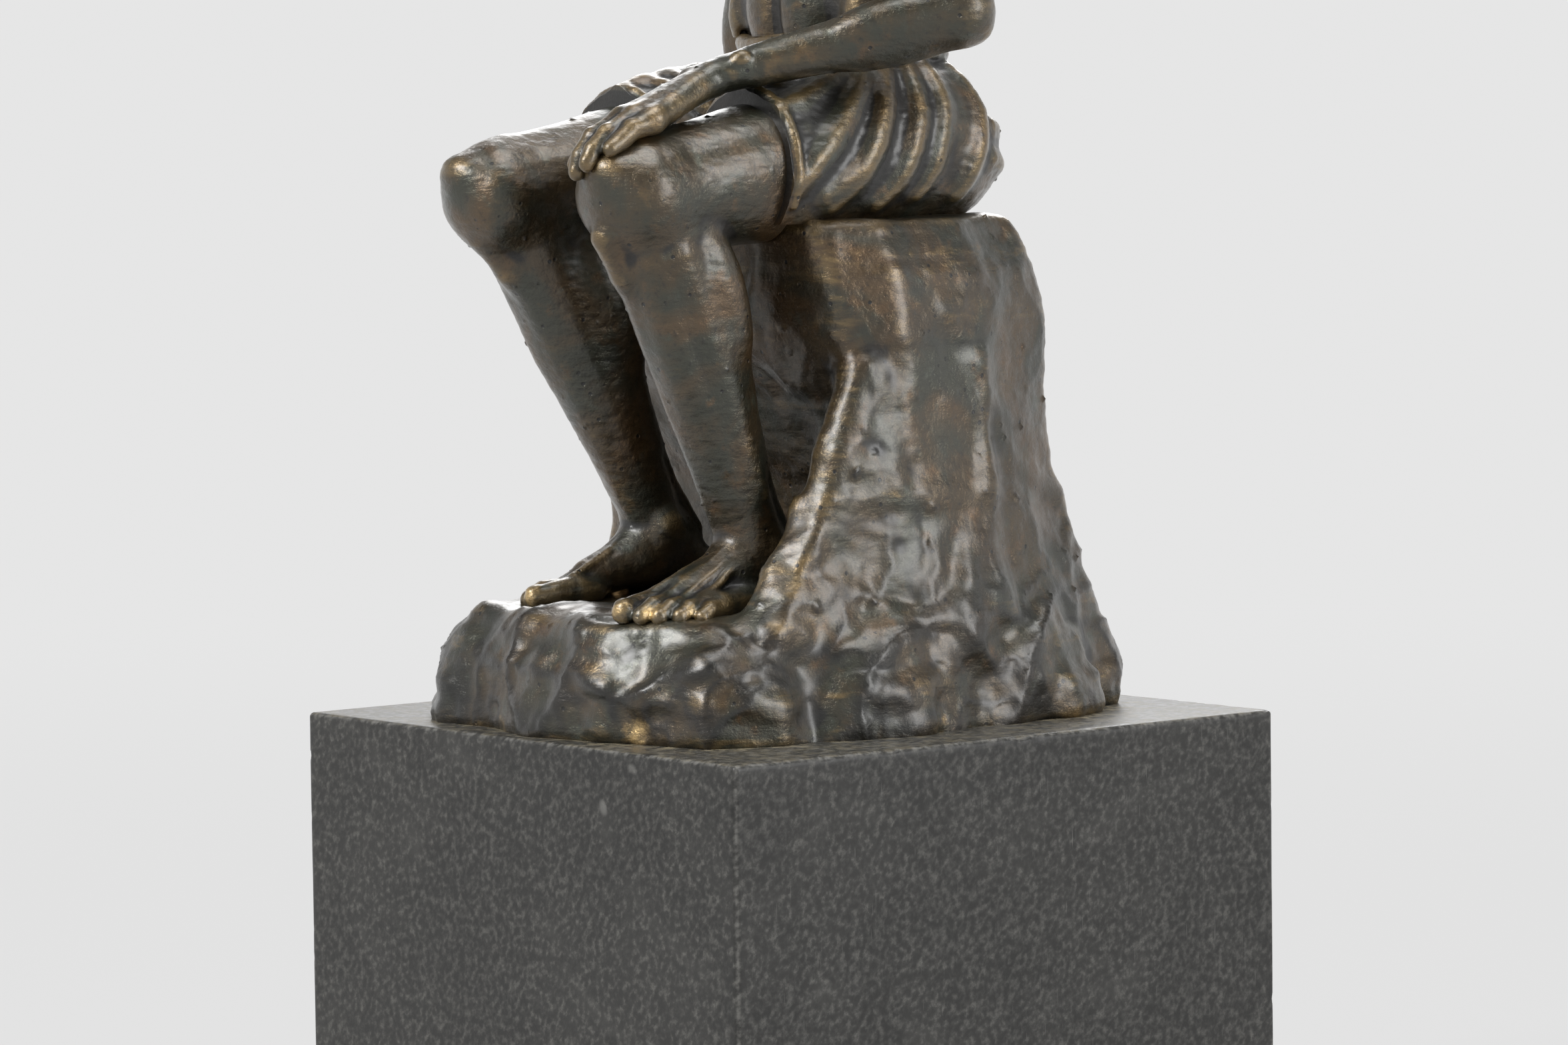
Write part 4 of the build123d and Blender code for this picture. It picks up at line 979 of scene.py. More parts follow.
class BodyForm(Sculpt):
    """Trunk, neck and head."""

    TRUNK_MIDDLE = (
        Mass("belly", (0, 0.8, 5), (16.2, 10.6, 16), 1.0),
        Mass("ribcage", (0, -0.4, 26), (17.8, 12.2, 20), 4.0),
        Mass("upper_chest", (0, -0.6, 38), (17.0, 10.0, 11), 4.0),
        Cord("neck", ((0, -0.6, 46), (0, 1.6, 65)), (7.4, 6.7), 2.5),
    )
    TRUNK_SIDES = (
        Mass("pectoral", (8.4, 8.0, 31.5), (8.8, 4.2, 6.4), 1.5, yaw=-12),
        Cord("pectoral_root", ((10, 7.0, 33.5), (20.5, 3.4, 38)), (4.4, 3.6), 2.0),
        Cord("girdle", ((3, -1.5, 45.5), (21.5, -0.3, 41.0)), (6.0, 5.8), 3.0),
        Cord("trapezius", ((2.6, -4.0, 55), (8, -4.4, 49), (17, -3.4, 44.5)), (4.4, 4.2, 3.4), 3.0),
        Mass("latissimus", (13.8, -4.6, 24), (3.9, 6.4, 16), 3.0),
        Mass("scapula", (10.2, -9.6, 34.6), (7.2, 3.1, 9.2), 2.6, yaw=14),
        Cord("upper_back", ((1.4, -6.6, 52), (4.6, -8.8, 46.4), (10.8, -8.4, 42.8)), (3.2, 3.8, 3.6), 3.2),
        Cord(
            "infraspinatus", ((8.5, -9.0, 33.5), (15.5, -7.2, 37.6), (21.5, -3.2, 40)), (3.2, 4.2, 4.6),
            3.0,
        ),
        Cord("teres", ((12.6, -8.2, 26.5), (18.0, -5.4, 33.0), (21.8, -2.6, 36)), (2.6, 3.4, 3.8), 2.8),
        Cord(
            "scapula_spine", ((4.6, -11.4, 38.5), (11, -11.2, 41), (18.5, -7.4, 43.2)), (0.5, 0.9, 1.1),
            2.4,
        ),
        Cord(
            "erector", ((3.9, -8.8, -1), (3.7, -9.3, 15), (3.2, -9.0, 30), (2.4, -8.0, 42)),
            (3.8, 3.5, 2.9, 2.0), 3.4,
        ),
        Cord("abdominal_wall", ((3.9, 7.6, 23), (4.0, 7.4, 13), (3.6, 8.0, 1)), (3.9, 4.0, 4.0), 2.0),
        Mass("abdominal_upper", (4.0, 9.5, 19.4), (4.3, 2.2, 3.5), 1.5),
        Mass("abdominal_middle", (4.0, 9.4, 12.6), (4.3, 2.2, 3.5), 1.5),
        Mass("abdominal_lower", (3.8, 9.6, 4.6), (4.2, 2.3, 5.0), 1.6),
        Mass("oblique", (13.2, 3.2, 3.6), (3.6, 6.2, 7.0), 2.2),
        Mass("serratus_high", (13.0, 6.0, 23.6), (1.8, 4.2, 1.9), 2.6, pitch=32),
        Mass("serratus_middle", (13.3, 4.8, 19.2), (1.8, 4.2, 1.8), 2.6, pitch=32),
        Mass("serratus_low", (13.1, 3.8, 15.0), (1.7, 3.8, 1.7), 2.6, pitch=32),
        Cord("collarbone", ((2.1, 6.2, 45.4), (9, 6.0, 45.0), (18.5, 2.8, 45.2)), (1.3, 1.15, 1.3), 1.2),
        Mass("neck_root", (7.6, 0.6, 46.4), (6.4, 4.6, 3.6), 3.0),
        Cord("sternomastoid", ((1.7, 6.0, 47.2), (4.4, 4.2, 55), (6.5, -1.2, 64.5)), (1.3, 1.7, 1.5), 1.8),
        Mass("nipple", (9.2, 12.0, 29.6), (0.8, 0.7, 0.8), 0.5),
        Cord(
            "flank_crease", ((9, 10.6, 1.8), (14.5, 6.4, 1.2), (17.2, -1, 1.6)), (0.35, 0.5, 0.35), 1.2,
            carve=True,
        ),
    )
    TRUNK_GROOVES = (
        Cord(
            "spine", ((0, -12.8, -2), (0, -13.3, 14), (0, -13.6, 30), (0, -12.2, 43)), (0.5, 0.6, 0.6, 0.5),
            2.8, carve=True,
        ),
        Cord("midline", ((0, 12.9, 24), (0, 12.6, 14), (0, 12.0, 2)), (0.35, 0.4, 0.3), 1.8, carve=True),
        Cord("breastbone", ((0, 12.9, 26), (0, 11.9, 38), (0, 10.0, 43)), (0.35, 0.4, 0.3), 2.2, carve=True),
        Mass("navel", (0, 12.3, 8.2), (0.9, 1.2, 0.8), 0.9, carve=True),
        Mass("throat_pit", (0, 8.6, 47.0), (1.5, 0.9, 1.5), 2.2, carve=True),
        Mass("larynx", (0, 7.8, 57.5), (1.6, 1.4, 2.4), 1.2),
    )
    HEAD_MIDDLE = (
        Mass("skull", (0, -1.8, 4.2), (9.7, 11.9, 10.2), 1.5),
        Mass("face", (0, 3.2, -3.4), (7.7, 7.7, 10.8), 2.5),
        Mass("forehead", (0, 6.0, 6.6), (7.2, 4.6, 5.6), 2.0),
        Mass("chin", (0, 8.5, -12.4), (3.2, 2.6, 2.5), 1.8),
        Mass("mouth_mound", (0, 8.4, -8.6), (4.4, 2.8, 3.2), 1.8),
        Mass("under_jaw", (0, 2.6, -11.4), (5.4, 6.0, 3.0), 2.2),
        Cord("nose", ((0, 9.8, 1.9), (0, 10.9, -1.2), (0, 12.5, -4.3)), (1.05, 1.1, 1.4), 1.1),
        Mass("nose_tip", (0, 12.8, -4.9), (1.5, 1.5, 1.35), 0.8),
        Cord("brow", ((-7.0, 7.6, 1.9), (-3.5, 10.0, 2.9), (0, 10.1, 2.2), (3.5, 10.0, 2.9), (7.0, 7.6, 1.9)),
             (1.0, 1.2, 0.9, 1.2, 1.0), 1.4),
    )
    HEAD_SIDES = (
        Cord("jaw", ((7.0, -1.0, -5.4), (6.2, 2.2, -9.4), (2.6, 7.2, -12.6)), (2.3, 2.3, 2.3), 2.2),
        Mass("cheekbone", (6.0, 6.4, -2.6), (2.8, 2.5, 2.1), 1.8),
        Cord("cheek_arch", ((6.6, 5.6, -2.2), (9.0, -0.6, -1.0)), (1.5, 1.3), 1.8),
        Mass("socket", (3.6, 11.0, 0.0), (2.8, 2.5, 1.9), 1.3, carve=True),
        Mass("eyeball", (3.45, 7.9, -0.2), (2.1, 2.1, 2.1), 0.3),
        Cord(
            "upper_lid",
            ((1.7, 9.1, -0.6), (2.5, 9.9, 0.2), (3.5, 10.15, 0.45), (4.6, 9.6, 0.1), (5.5, 8.4, -0.6)),
            (0.3, 0.42, 0.46, 0.42, 0.3), 0.25,
        ),
        Cord(
            "lower_lid",
            ((1.7, 9.1, -0.7), (2.7, 9.6, -1.4), (3.6, 9.7, -1.6), (4.7, 9.1, -1.3), (5.5, 8.4, -0.7)),
            (0.25, 0.32, 0.36, 0.32, 0.25), 0.3,
        ),
        Mass("nostril_wing", (1.6, 11.3, -5.3), (1.15, 1.4, 1.1), 0.6),
        Mass("nostril", (0.85, 12.0, -6.2), (0.45, 0.7, 0.5), 0.3, carve=True),
        Cord(
            "smile_line", ((2.9, 10.3, -5.2), (4.2, 9.2, -7.4), (4.4, 8.4, -9.6)), (0.3, 0.4, 0.25), 1.1,
            carve=True,
        ),
        Cord("upper_lip", ((0, 11.2, -8.1), (1.1, 11.2, -7.9), (3.0, 9.9, -8.6)), (0.55, 0.62, 0.3), 0.5),
        Cord("lower_lip", ((0, 11.0, -9.6), (1.4, 10.7, -9.4), (2.7, 9.8, -8.9)), (0.8, 0.72, 0.3), 0.5),
        Cord(
            "mouth_line", ((0, 11.75, -8.75), (1.6, 11.2, -8.75), (3.2, 9.9, -8.75)), (0.24, 0.24, 0.28),
            0.3, carve=True,
        ),
        Cord(
            "ear_rim",
            ((9.3, 0.6, -2.6), (9.8, 0.9, 0.2), (10.5, -0.5, 2.4), (10.8, -2.6, 2.2),
             (10.7, -3.5, 0.0), (10.2, -2.9, -2.6), (9.7, -1.2, -4.0)),
            (0.5, 0.6, 0.7, 0.75, 0.7, 0.7, 0.8), 0.4,
        ),
        Mass("ear_bowl", (9.6, -1.4, -0.4), (1.0, 2.2, 2.9), 0.5),
        Mass("ear_hole", (10.6, -0.6, -1.0), (0.8, 0.9, 1.2), 0.5, carve=True),
        Mass("temple", (9.4, 5.0, 3.4), (1.6, 2.8, 2.6), 1.8, carve=True),
    )
    FACE_GROOVES = (
        Cord("lip_groove", ((0, 12.0, -6.6), (0, 11.9, -7.6)), (0.3, 0.35), 0.6, carve=True),
        Mass("chin_crease", (0, 11.2, -11.0), (2.0, 0.7, 0.5), 0.9, carve=True),
    )
    HAIR_CAP = Mass("hair_cap", (0, -2.4, 4.9), (10.0, 11.9, 10.2), 0.5)
    SKULL_CENTRE = (0, -1.8, 4.2)
    SKULL_RADII = (9.9, 12.1, 10.4)
    HAIR_RINGS = ((6, 8, 30), (20, 15, 32), (36, 22, 32), (54, 28, 32), (74, 30, 30), (96, 26, 26))
    HAIR_STEPS = 7
    HAIR_RADIUS = 0.9
    HAIR_SEED = 11
    LOCK_SHIFTS, LOCK_LENGTHS, LOCK_SWINGS, LOCK_WIDTHS = (-0.3, 0.3), (0.8, 1.2), (0.10, 0.2), (0.85, 1.2)
    LOCK_WAVE, LOCK_LEAN, LOCK_OVERHANG = 5.0, 0.12, 5
    LOCK_ENDS, LOCK_BELLY, LOCK_TIP, LOCK_ARC = 0.75, 0.5, 0.5, (0.15, 0.75)
    LOCK_LIFT, LOCK_BLEND = 0.35, 0.35
    HAIRLINE_BROW, HAIRLINE_NAPE, HAIRLINE_TEMPLE = 62.0, 26.0, 6.0

    def __init__(self, bones: Skeleton) -> None:
        """Model the trunk, then the head with its hair."""
        super().__init__()
        trunk, head = bones.trunk_frame(), bones.head_frame()
        model(self, trunk, self.TRUNK_MIDDLE)
        model(self, trunk, self.TRUNK_SIDES, both_sides=True)
        model(self, trunk, self.TRUNK_GROOVES)
        model(self, head, self.HEAD_MIDDLE)
        model(self, head, self.HEAD_SIDES, both_sides=True)
        model(self, head, self.FACE_GROOVES)
        self.comb(head)

    def hairline(self, turn: float) -> float:
        """Angle from the crown down to which hair grows, at a turn from the face."""
        nape, temple = 1 - cos(turn), sin(turn) ** 2
        return self.HAIRLINE_BROW + self.HAIRLINE_NAPE * nape + self.HAIRLINE_TEMPLE * temple

    def comb(self, head: Frame) -> None:
        """Lay wavy locks over the skull, ring by ring from the nape up."""
        chance = np.random.default_rng(self.HAIR_SEED)
        paths, tapers = [], []
        start, span = self.LOCK_ARC
        belly = [sin(pi * (start + span * s / (self.HAIR_STEPS - 1))) for s in range(self.HAIR_STEPS)]
        for polar, count, length in reversed(self.HAIR_RINGS):
            for index in range(count):
                turn = 2 * pi * (index + chance.uniform(*self.LOCK_SHIFTS)) / count
                end = self.hairline(turn)
                if polar > end:
                    continue
                stop = min(polar + length * chance.uniform(*self.LOCK_LENGTHS), end + self.LOCK_OVERHANG)
                swing, phase = chance.uniform(*self.LOCK_SWINGS), chance.uniform(0, 2 * pi)
                for step in range(self.HAIR_STEPS):
                    share = step / (self.HAIR_STEPS - 1)
                    down = radians(polar + (stop - polar) * share)
                    around = turn + swing * sin(phase + self.LOCK_WAVE * share) + self.LOCK_LEAN * share
                    direction = np.array([sin(down) * sin(around), sin(down) * cos(around), cos(down)])
                    paths.append(head.at(self.SKULL_CENTRE + direction * self.SKULL_RADII))
                thick = self.HAIR_RADIUS * chance.uniform(*self.LOCK_WIDTHS)
                taper = thick * (self.LOCK_ENDS + self.LOCK_BELLY * np.array(belly))
                taper[-1] *= self.LOCK_TIP
                tapers.append(taper)
        laid = self.settle(paths, lift=self.LOCK_LIFT).reshape(len(tapers), self.HAIR_STEPS, 3)
        for points, taper in zip(laid, tapers):
            self.bar(points, taper, self.LOCK_BLEND)
        model(self, head, (self.HAIR_CAP,))


@dataclass(frozen=True)
class Finger:
    """One finger: how far its knuckle is to the side of the hand's middle, and its bones' lengths."""

    spread: float
    start: float
    bones: Triple


class ArmForm(Sculpt):
    """One arm with its hand, from the shoulder out."""

    UPPER = (
        Cord("upper_arm", ((0, 0, 0), (0, 0, 37)), (6.0, 4.7), 1.0),
        Mass("deltoid", (0.9, 0.2, 3.6), (6.6, 7.3, 11.2), 2.0),
        Mass("deltoid_front", (-0.8, 4.0, 4.6), (4.0, 3.8, 9.6), 1.6),
        Mass("deltoid_back", (-0.8, -4.0, 4.6), (4.0, 3.8, 9.6), 1.6),
        Mass("biceps", (-0.8, 2.9, 21.5), (4.2, 3.9, 11.0), 1.3),
        Mass("triceps_long", (-1.3, -2.9, 17.5), (4.1, 3.9, 12.5), 1.5),
        Mass("triceps_outer", (2.4, -2.3, 16.5), (3.2, 3.3, 10.0), 1.2),
        Mass("brachialis", (2.6, 1.2, 26.5), (2.4, 2.9, 7.6), 1.3),
        Mass("elbow", (0, 0, 37), (4.5, 4.2, 4.4), 2.0),
        Mass("inner_epicondyle", (-3.9, -0.6, 36.2), (1.6, 1.6, 2.0), 1.2),
    )
    FOREARM = (
        Cord("forearm", ((0, 0, 0), (0, 0, 30)), (4.6, 3.0), 2.0),
        Mass("extensors", (1.5, 1.6, 9), (3.3, 3.2, 9.6), 1.4),
        Mass("flexors", (-1.6, -1.3, 9.5), (3.6, 3.7, 10.6), 1.5),
        Mass("brachioradialis", (-0.2, 2.6, 6.0), (2.6, 2.4, 9.0), 1.3),
    )
    WRIST = (
        Mass("wrist", (0, 0, -1.0), (3.7, 2.7, 4.2), 1.5),
        Mass("ulna_head", (2.5, 1.5, -3.0), (1.2, 1.2, 1.5), 0.9),
    )
    FINGERS = (
        Finger(-3.6, 0.2, (5.2, 3.4, 2.6)),
        Finger(-1.2, 0.9, (5.8, 3.9, 2.8)),
        Finger(1.2, 0.4, (5.4, 3.6, 2.7)),
        Finger(3.5, -1.0, (4.2, 2.7, 2.3)),
    )
    FINGER_RADII = (1.75, 1.5, 1.32, 1.08)
    PALM_START, PALM_RADII = 0.12, (2.0, 1.75)
    TENDON_START, TENDON_LIFTS, TENDON_RADII = 0.3, (1.35, 0.9), (0.45, 0.6)
    JOINT_LIFT, JOINT_RADII = 0.5, (1.25, 1.25, 1.15)
    NAIL_SHARE, NAIL_LIFT, NAIL_RADII = 0.8, 0.85, (0.75, 0.95, 0.3)
    KNUCKLE_LIFT = 2.3
    OLECRANON = (2.3, 2.6)

    def __init__(self, bones: Skeleton, side: Side) -> None:
        """Model the arm down to the wrist."""
        super().__init__()
        self.bones, self.side = bones, side
        shoulder, elbow, wrist = bones.shoulder_at(side), bones.elbow_at(side), bones.wrist_at(side)
        out = X_AXIS * side.value
        upper = Frame.of_bone(shoulder, elbow, FORWARD, out)
        lower = Frame.of_bone(elbow, wrist, Z_AXIS if side is Side.LEFT else FORWARD, out)
        model(self, upper, self.UPPER)
        model(self, lower, self.FOREARM)
        model(self, Frame(wrist, lower.out, lower.front, lower.along), self.WRIST)
        corner = unit(upper.along - lower.along)
        radius, reach = self.OLECRANON
        self.ball(elbow + corner * reach, (radius, radius, radius), 1.2)
        self.wrist = wrist

    def lay_finger(self, joints: np.ndarray, nail: np.ndarray) -> None:
        """Model one finger through its joints, with a tendon behind it and a nail that faces nail."""
        knuckle = joints[0]
        self.bar(joints, self.FINGER_RADII, 0.45)
        self.bar([lerp(self.wrist, knuckle, self.PALM_START), knuckle], self.PALM_RADII, 1.2)
        near, far = (nail * lift for lift in self.TENDON_LIFTS)
        self.bar([lerp(self.wrist, knuckle, self.TENDON_START) + near, knuckle + far], self.TENDON_RADII, 0.8)
        self.ball(joints[1] + nail * self.JOINT_LIFT, self.JOINT_RADII, 0.4)
        tip = lerp(joints[2], joints[3], self.NAIL_SHARE)
        ahead = unit(joints[3] - joints[2])
        face = unit(nail - ahead * np.dot(nail, ahead))
        axes = np.stack([np.cross(ahead, face), ahead, face])
        self.add(Lump(tip + face * self.NAIL_LIFT, self.NAIL_RADII, axes), 0.15)


class LeftArmForm(ArmForm):
    """The left arm, its hand over the left knee."""

    KNUCKLE_TURN = 2.0
    THUMB = ((-2.2, -2.8, -1.2), (-5.6, -9.0, -5.4), (-6.4, -14.4, -8.6), (-6.0, -17.6, -11.0))
    THUMB_RADII = (2.5, 1.95, 1.7, 1.25)

    def __init__(self, bones: Skeleton, leg: LegForm) -> None:
        """Model the arm, and lay the hand on the leg that is already modelled."""
        super().__init__(bones, Side.LEFT)
        knee = bones.knee_at(Side.LEFT)
        ring = bones.knee_radius + self.KNUCKLE_LIFT
        for finger in self.FINGERS:
            turn = radians(self.KNUCKLE_TURN) + finger.start / ring
            joints = []
            for index, radius in enumerate(self.FINGER_RADII):
                spread = finger.spread * (1 + 0.06 * index)
                start = knee + np.array([spread - 0.6, -sin(turn) * ring, cos(turn) * ring])
                joints.append(leg.settle([start], lift=radius * (1.15 if index < 2 else 0.8))[0])
                if index < 3:
                    turn += finger.bones[index] / ring
            middle = unit(np.mean(joints, axis=0) - knee)
            self.lay_finger(np.array(joints), unit(middle + Z_AXIS * 0.4))
        thumb = [self.wrist + np.array(self.THUMB[0])]
        for place, radius in zip(self.THUMB[1:], self.THUMB_RADII[1:]):
            thumb.append(leg.settle([self.wrist + np.array(place)], lift=radius * 0.8)[0])
        self.bar(thumb, self.THUMB_RADII, 1.0)


class RightArmForm(ArmForm):
    """The right arm, its hand flat on the seat."""

    KNUCKLES_AHEAD = 12.5
    HEIGHTS = (3.3, 2.7, 1.7, 1.15)
    FAN = 0.22
    HEEL, HEEL_RADII = (0.0, -1.2, -3.6), (4.1, 3.9, 3.5)
    PALM, PALM_PAD = (0.0, -5.2, -5.2), (4.6, 5.6, 2.7)
    THUMB = ((2.4, -3.4, -4.2), (5.6, -8.6, -6.2), (7.2, -12.8, -6.9), (7.8, -15.8, -7.3))
    THUMB_RADII = (2.4, 1.9, 1.6, 1.15)

    def __init__(self, bones: Skeleton) -> None:
        """Model the arm, and lay the hand on the seat."""
        super().__init__(bones, Side.RIGHT)
        for finger in self.FINGERS:
            ahead = self.KNUCKLES_AHEAD + finger.start
            joints = []
            for index, height in enumerate(self.HEIGHTS):
                spread = finger.spread + finger.spread * self.FAN * index / 3
                joints.append((self.wrist[0] - spread, self.wrist[1] - ahead, bones.seat + height))
                if index < 3:
                    ahead += finger.bones[index]
            self.lay_finger(np.array(joints), Z_AXIS)
        self.ball(self.wrist + np.array(self.HEEL), self.HEEL_RADII, 2.0)
        self.ball(self.wrist + np.array(self.PALM), self.PALM_PAD, 1.6)
        self.bar([self.wrist + np.array(place) for place in self.THUMB], self.THUMB_RADII, 1.0)


class WrapForm(Sculpt):
    """Pelvis and lap in a short cloth wrap, with its folds, hem, waistband and knot."""

    MIDDLE = (
        Mass("pelvis", (0, -13.6, 12), (20.0, 13.6, 15.5), 1.0),
        Mass("lap_fill", (0, 4, 3), (12.5, 15, 6.6), 3.0),
    )
    SIDES = (
        Mass("buttock", (10.2, -17.6, 8.5), (12.0, 11.6, 10.4), 3.0),
        Cord("thigh", ((12, -12, 10.6), (13.4, 5, 8.9), (14.5, 19.5, 6.8)), (12.5, 12.0, 11.0), 3.0),
    )
    SAG_ROWS = ((-3.0, 12.0), (3.0, 10.4), (9.0, 8.8), (14.5, 7.2), (17.6, 5.6))
    SAG_RADIUS = 2.6
    BAND_CENTRE = (-12.0, 25.0)
    BAND_RADII = (17.1, 11.6)
    BAND_STEPS, BAND_WAVE, BAND_WAVES = 49, 0.25, 5
    BAND_RINGS = ((0.0, 1.35, 0.2), (-1.9, 1.15, 0.3), (-3.6, 0.8, 0.1))
    LAP_FOLDS = ((13.4, 1.0, 3.8), (8.2, 0.65, 2.6), (3.0, 0.9, 2.8), (-2.6, 0.6, 1.2))
    LAP_LIFT, LAP_BLEND, LAP_HALF, LAP_HEIGHT = -0.1, 2.0, 16, 16.0
    FAN_FOLDS = (
        ((17.4, -0.5, 23.5), (19.6, 6.5, 19.5), (20.5, 13, 16), (20.6, 17.6, 14)),
        ((18.4, -2.5, 23), (22.0, 4.0, 17.5), (24.5, 11, 11), (25.5, 17.4, 5)),
        ((18.8, -4.5, 23), (23.0, 0.5, 15), (25.2, 6, 8), (25.4, 12, 3)),
        ((22.4, -1.0, 16), (24.4, 2.0, 10), (25.0, 5.5, 5), (25.0, 9, 1)),
        ((19.0, -8.0, 23), (22.8, -5.5, 14), (24.0, -2, 7), (24.4, 1.5, 1)),
        ((19.0, -12, 23), (22.8, -11.5, 15), (23.6, -9, 8), (23.8, -7, 3)),
        ((16.0, 0.5, 23.5), (15.6, 7.5, 20.5), (14.8, 13, 18.8), (14.0, 17.6, 17.8)),
        ((17.4, -17, 23), (21.6, -18.5, 15), (22.4, -16, 8), (22.6, -14, 3)),
    )
    FAN_RADII = (0.35, 0.85, 1.0, 0.5)
    FAN_SIZES = (1.0, 1.3, 0.8, 0.7, 1.15, 0.85, 0.7, 1.2)
    BACK_FOLDS = (
        (-19.0, 20.0, 16.0, 21.0, 5.0, 0.9), (-21.0, 13.0, 20.0, 12.5, 3.5, 1.1),
        (-14.0, 21.5, 21.0, 8.0, 5.5, 0.8), (-21.0, 6.0, 12.0, 3.5, 1.5, 0.8),
    )
    BACK_FRONT, BACK_BULGE, BACK_HALF = -20, 9, 24
    FAN_LIFT, FAN_BLEND = -0.2, 2.7
    FOLD_PLACES, FOLD_STEPS = 9, 17
    HEM_FRONT = 17.5
    HEM_RADIUS, HEM_LIFT, HEM_BLEND = 0.7, 0.25, 0.6
    HEM_CENTRE, HEM_REACH, HEM_TURNS = (14.5, 6.8), 12.5, range(-25, 186, 14)
    LAP_HOLLOW = Mass("lap_hollow", (0, 19.0, -1.0), (8.0, 7.5, 7.5), 2.0, carve=True)
    KNOT = (
        Mass("knot", (9.0, 1.9, 24.2), (2.7, 1.9, 2.0), 0.6, yaw=30),
        Mass("knot_fold", (11.0, 1.2, 23.4), (1.9, 1.6, 2.3), 0.5, yaw=-40),
    )
    TAILS = (
        (((9.6, 2.6, 23), (11.4, 5.4, 21), (13.2, 9.4, 20), (14.0, 13.0, 19)), (1.3, 1.5, 1.6, 1.2)),
        (((9.4, 2.8, 23), (8.8, 5.4, 20), (7.8, 9.0, 17), (7.4, 11.6, 16)), (1.2, 1.35, 1.4, 1.0)),
    )

    def __init__(self, bones: Skeleton) -> None:
        """Model the lap, lay the folds on it, then the hem, band and knot."""
        super().__init__()
        where = Frame(Z_AXIS * bones.seat, X_AXIS, FORWARD, Z_AXIS)
        self.where = where
        model(self, where, self.MIDDLE)
        model(self, where, self.SIDES, both_sides=True)
        for front, height in self.SAG_ROWS:
            places = [(out, front, height + 0.028 * out * out) for out in np.linspace(-11, 11, 9)]
            self.bar([where.at(place) for place in places], [self.SAG_RADIUS] * len(places), 2.5)
        self.waiting: list[tuple[np.ndarray, np.ndarray, float, float]] = []
        self.fold()
        self.hem()
        self.tie()

    def lay(self, places: Iterable[Triple], radii: Sequence[float], lift: float, blend: float) -> None:
        """Note one fold on the plain lap, through places and lifted by a share of its radius."""
        points = np.array([self.where.at(place) for place in places])
        steps = np.linspace(0, len(points) - 1, self.FOLD_STEPS)
        line = np.stack(
            [np.interp(steps, np.arange(len(points)), points[:, axis]) for axis in range(3)], axis=1,
        )
        thick = np.interp(steps, np.linspace(0, len(points) - 1, len(radii)), radii)
        self.waiting.append((line, thick, lift, blend))

    @staticmethod
    def swelling(radius: float) -> Sequence[float]:
        """Radii of a fold that swells in its middle and dies away at its ends."""
        return 0.3, radius, radius * 1.2, radius, 0.3

    def fold(self) -> None:
        """Folds slung across the lap and the back, and fans from both hips."""
        for front, radius, sling in self.LAP_FOLDS:
            places = []
            for out in np.linspace(-self.LAP_HALF, self.LAP_HALF, self.FOLD_PLACES):
                places.append((out, front - sling * (1 - (out / self.LAP_HALF) ** 2), self.LAP_HEIGHT))
            self.lay(places, self.swelling(radius), self.LAP_LIFT, self.LAP_BLEND)
        for left, left_height, right, right_height, sag, radius in self.BACK_FOLDS:
            places = []
            for share in np.linspace(0, 1, self.FOLD_PLACES):
                out = left + (right - left) * share
                droop = sag * 4 * share * (1 - share)
                front = self.BACK_FRONT - self.BACK_BULGE * (1 - (out / self.BACK_HALF) ** 2)
                places.append((out, front, left_height + (right_height - left_height) * share - droop))
            self.lay(places, self.swelling(radius), self.FAN_LIFT, self.FAN_BLEND)
        for side in Side:
            for index, places in enumerate(self.FAN_FOLDS):
                drift = 0.8 * sin(2.4 * index + side.value)
                size = self.FAN_SIZES[index if side is Side.LEFT else -1 - index]
                turned = [(side.value * out, front + drift, height) for out, front, height in places]
                self.lay(
                    turned, [size * radius for radius in self.FAN_RADII[: len(places)]], self.FAN_LIFT,
                    self.FAN_BLEND,
                )

    def hem(self) -> None:
        """Rolled hem over both thighs and in the hollow between them."""
        out, height = self.HEM_CENTRE
        for side in Side:
            places = []
            for turn in map(radians, self.HEM_TURNS):
                across, up = self.HEM_REACH * cos(turn), self.HEM_REACH * sin(turn)
                places.append((side.value * (out + across), self.HEM_FRONT, height + up))
            self.lay(places, (self.HEM_RADIUS,) * 3, self.HEM_LIFT, self.HEM_BLEND)

    def tie(self) -> None:
        """Rolled waistband, and the knot with its two ends."""
        centre, height = self.BAND_CENTRE
        band = []
        for drop, radius, wider in self.BAND_RINGS:
            points = []
            for turn in np.linspace(0, 2 * pi, self.BAND_STEPS):
                wave = self.BAND_WAVE * sin(self.BAND_WAVES * turn + drop)
                reach_x, reach_y = self.BAND_RADII[0] + wider, self.BAND_RADII[1] + wider
                points.append(
                    self.where.at((reach_x * sin(turn), centre + reach_y * cos(turn), height + drop + wave)),
                )
            band.append(Stroke(Strand(np.array(points), np.full(self.BAND_STEPS, radius)), 0.5))
        for places, radii in self.TAILS:
            self.lay(places, radii, 0.6, 0.6)
        self.drop()
        self.strokes += band
        model(self, self.where, self.KNOT)
        model(self, self.where, (self.LAP_HOLLOW,))

    def drop(self) -> None:
        """Lay the waiting folds on the plain lap, all at once."""
        lines = np.concatenate([line for line, _, _, _ in self.waiting])
        laid = self.settle(lines).reshape(len(self.waiting), self.FOLD_STEPS, 3)
        raised = self.settle(lines, lift=1.0).reshape(len(self.waiting), self.FOLD_STEPS, 3)
        for points, above, (_, thick, lift, blend) in zip(laid, raised, self.waiting):
            self.bar(points + (above - points) * (lift * thick)[:, None], thick, blend)


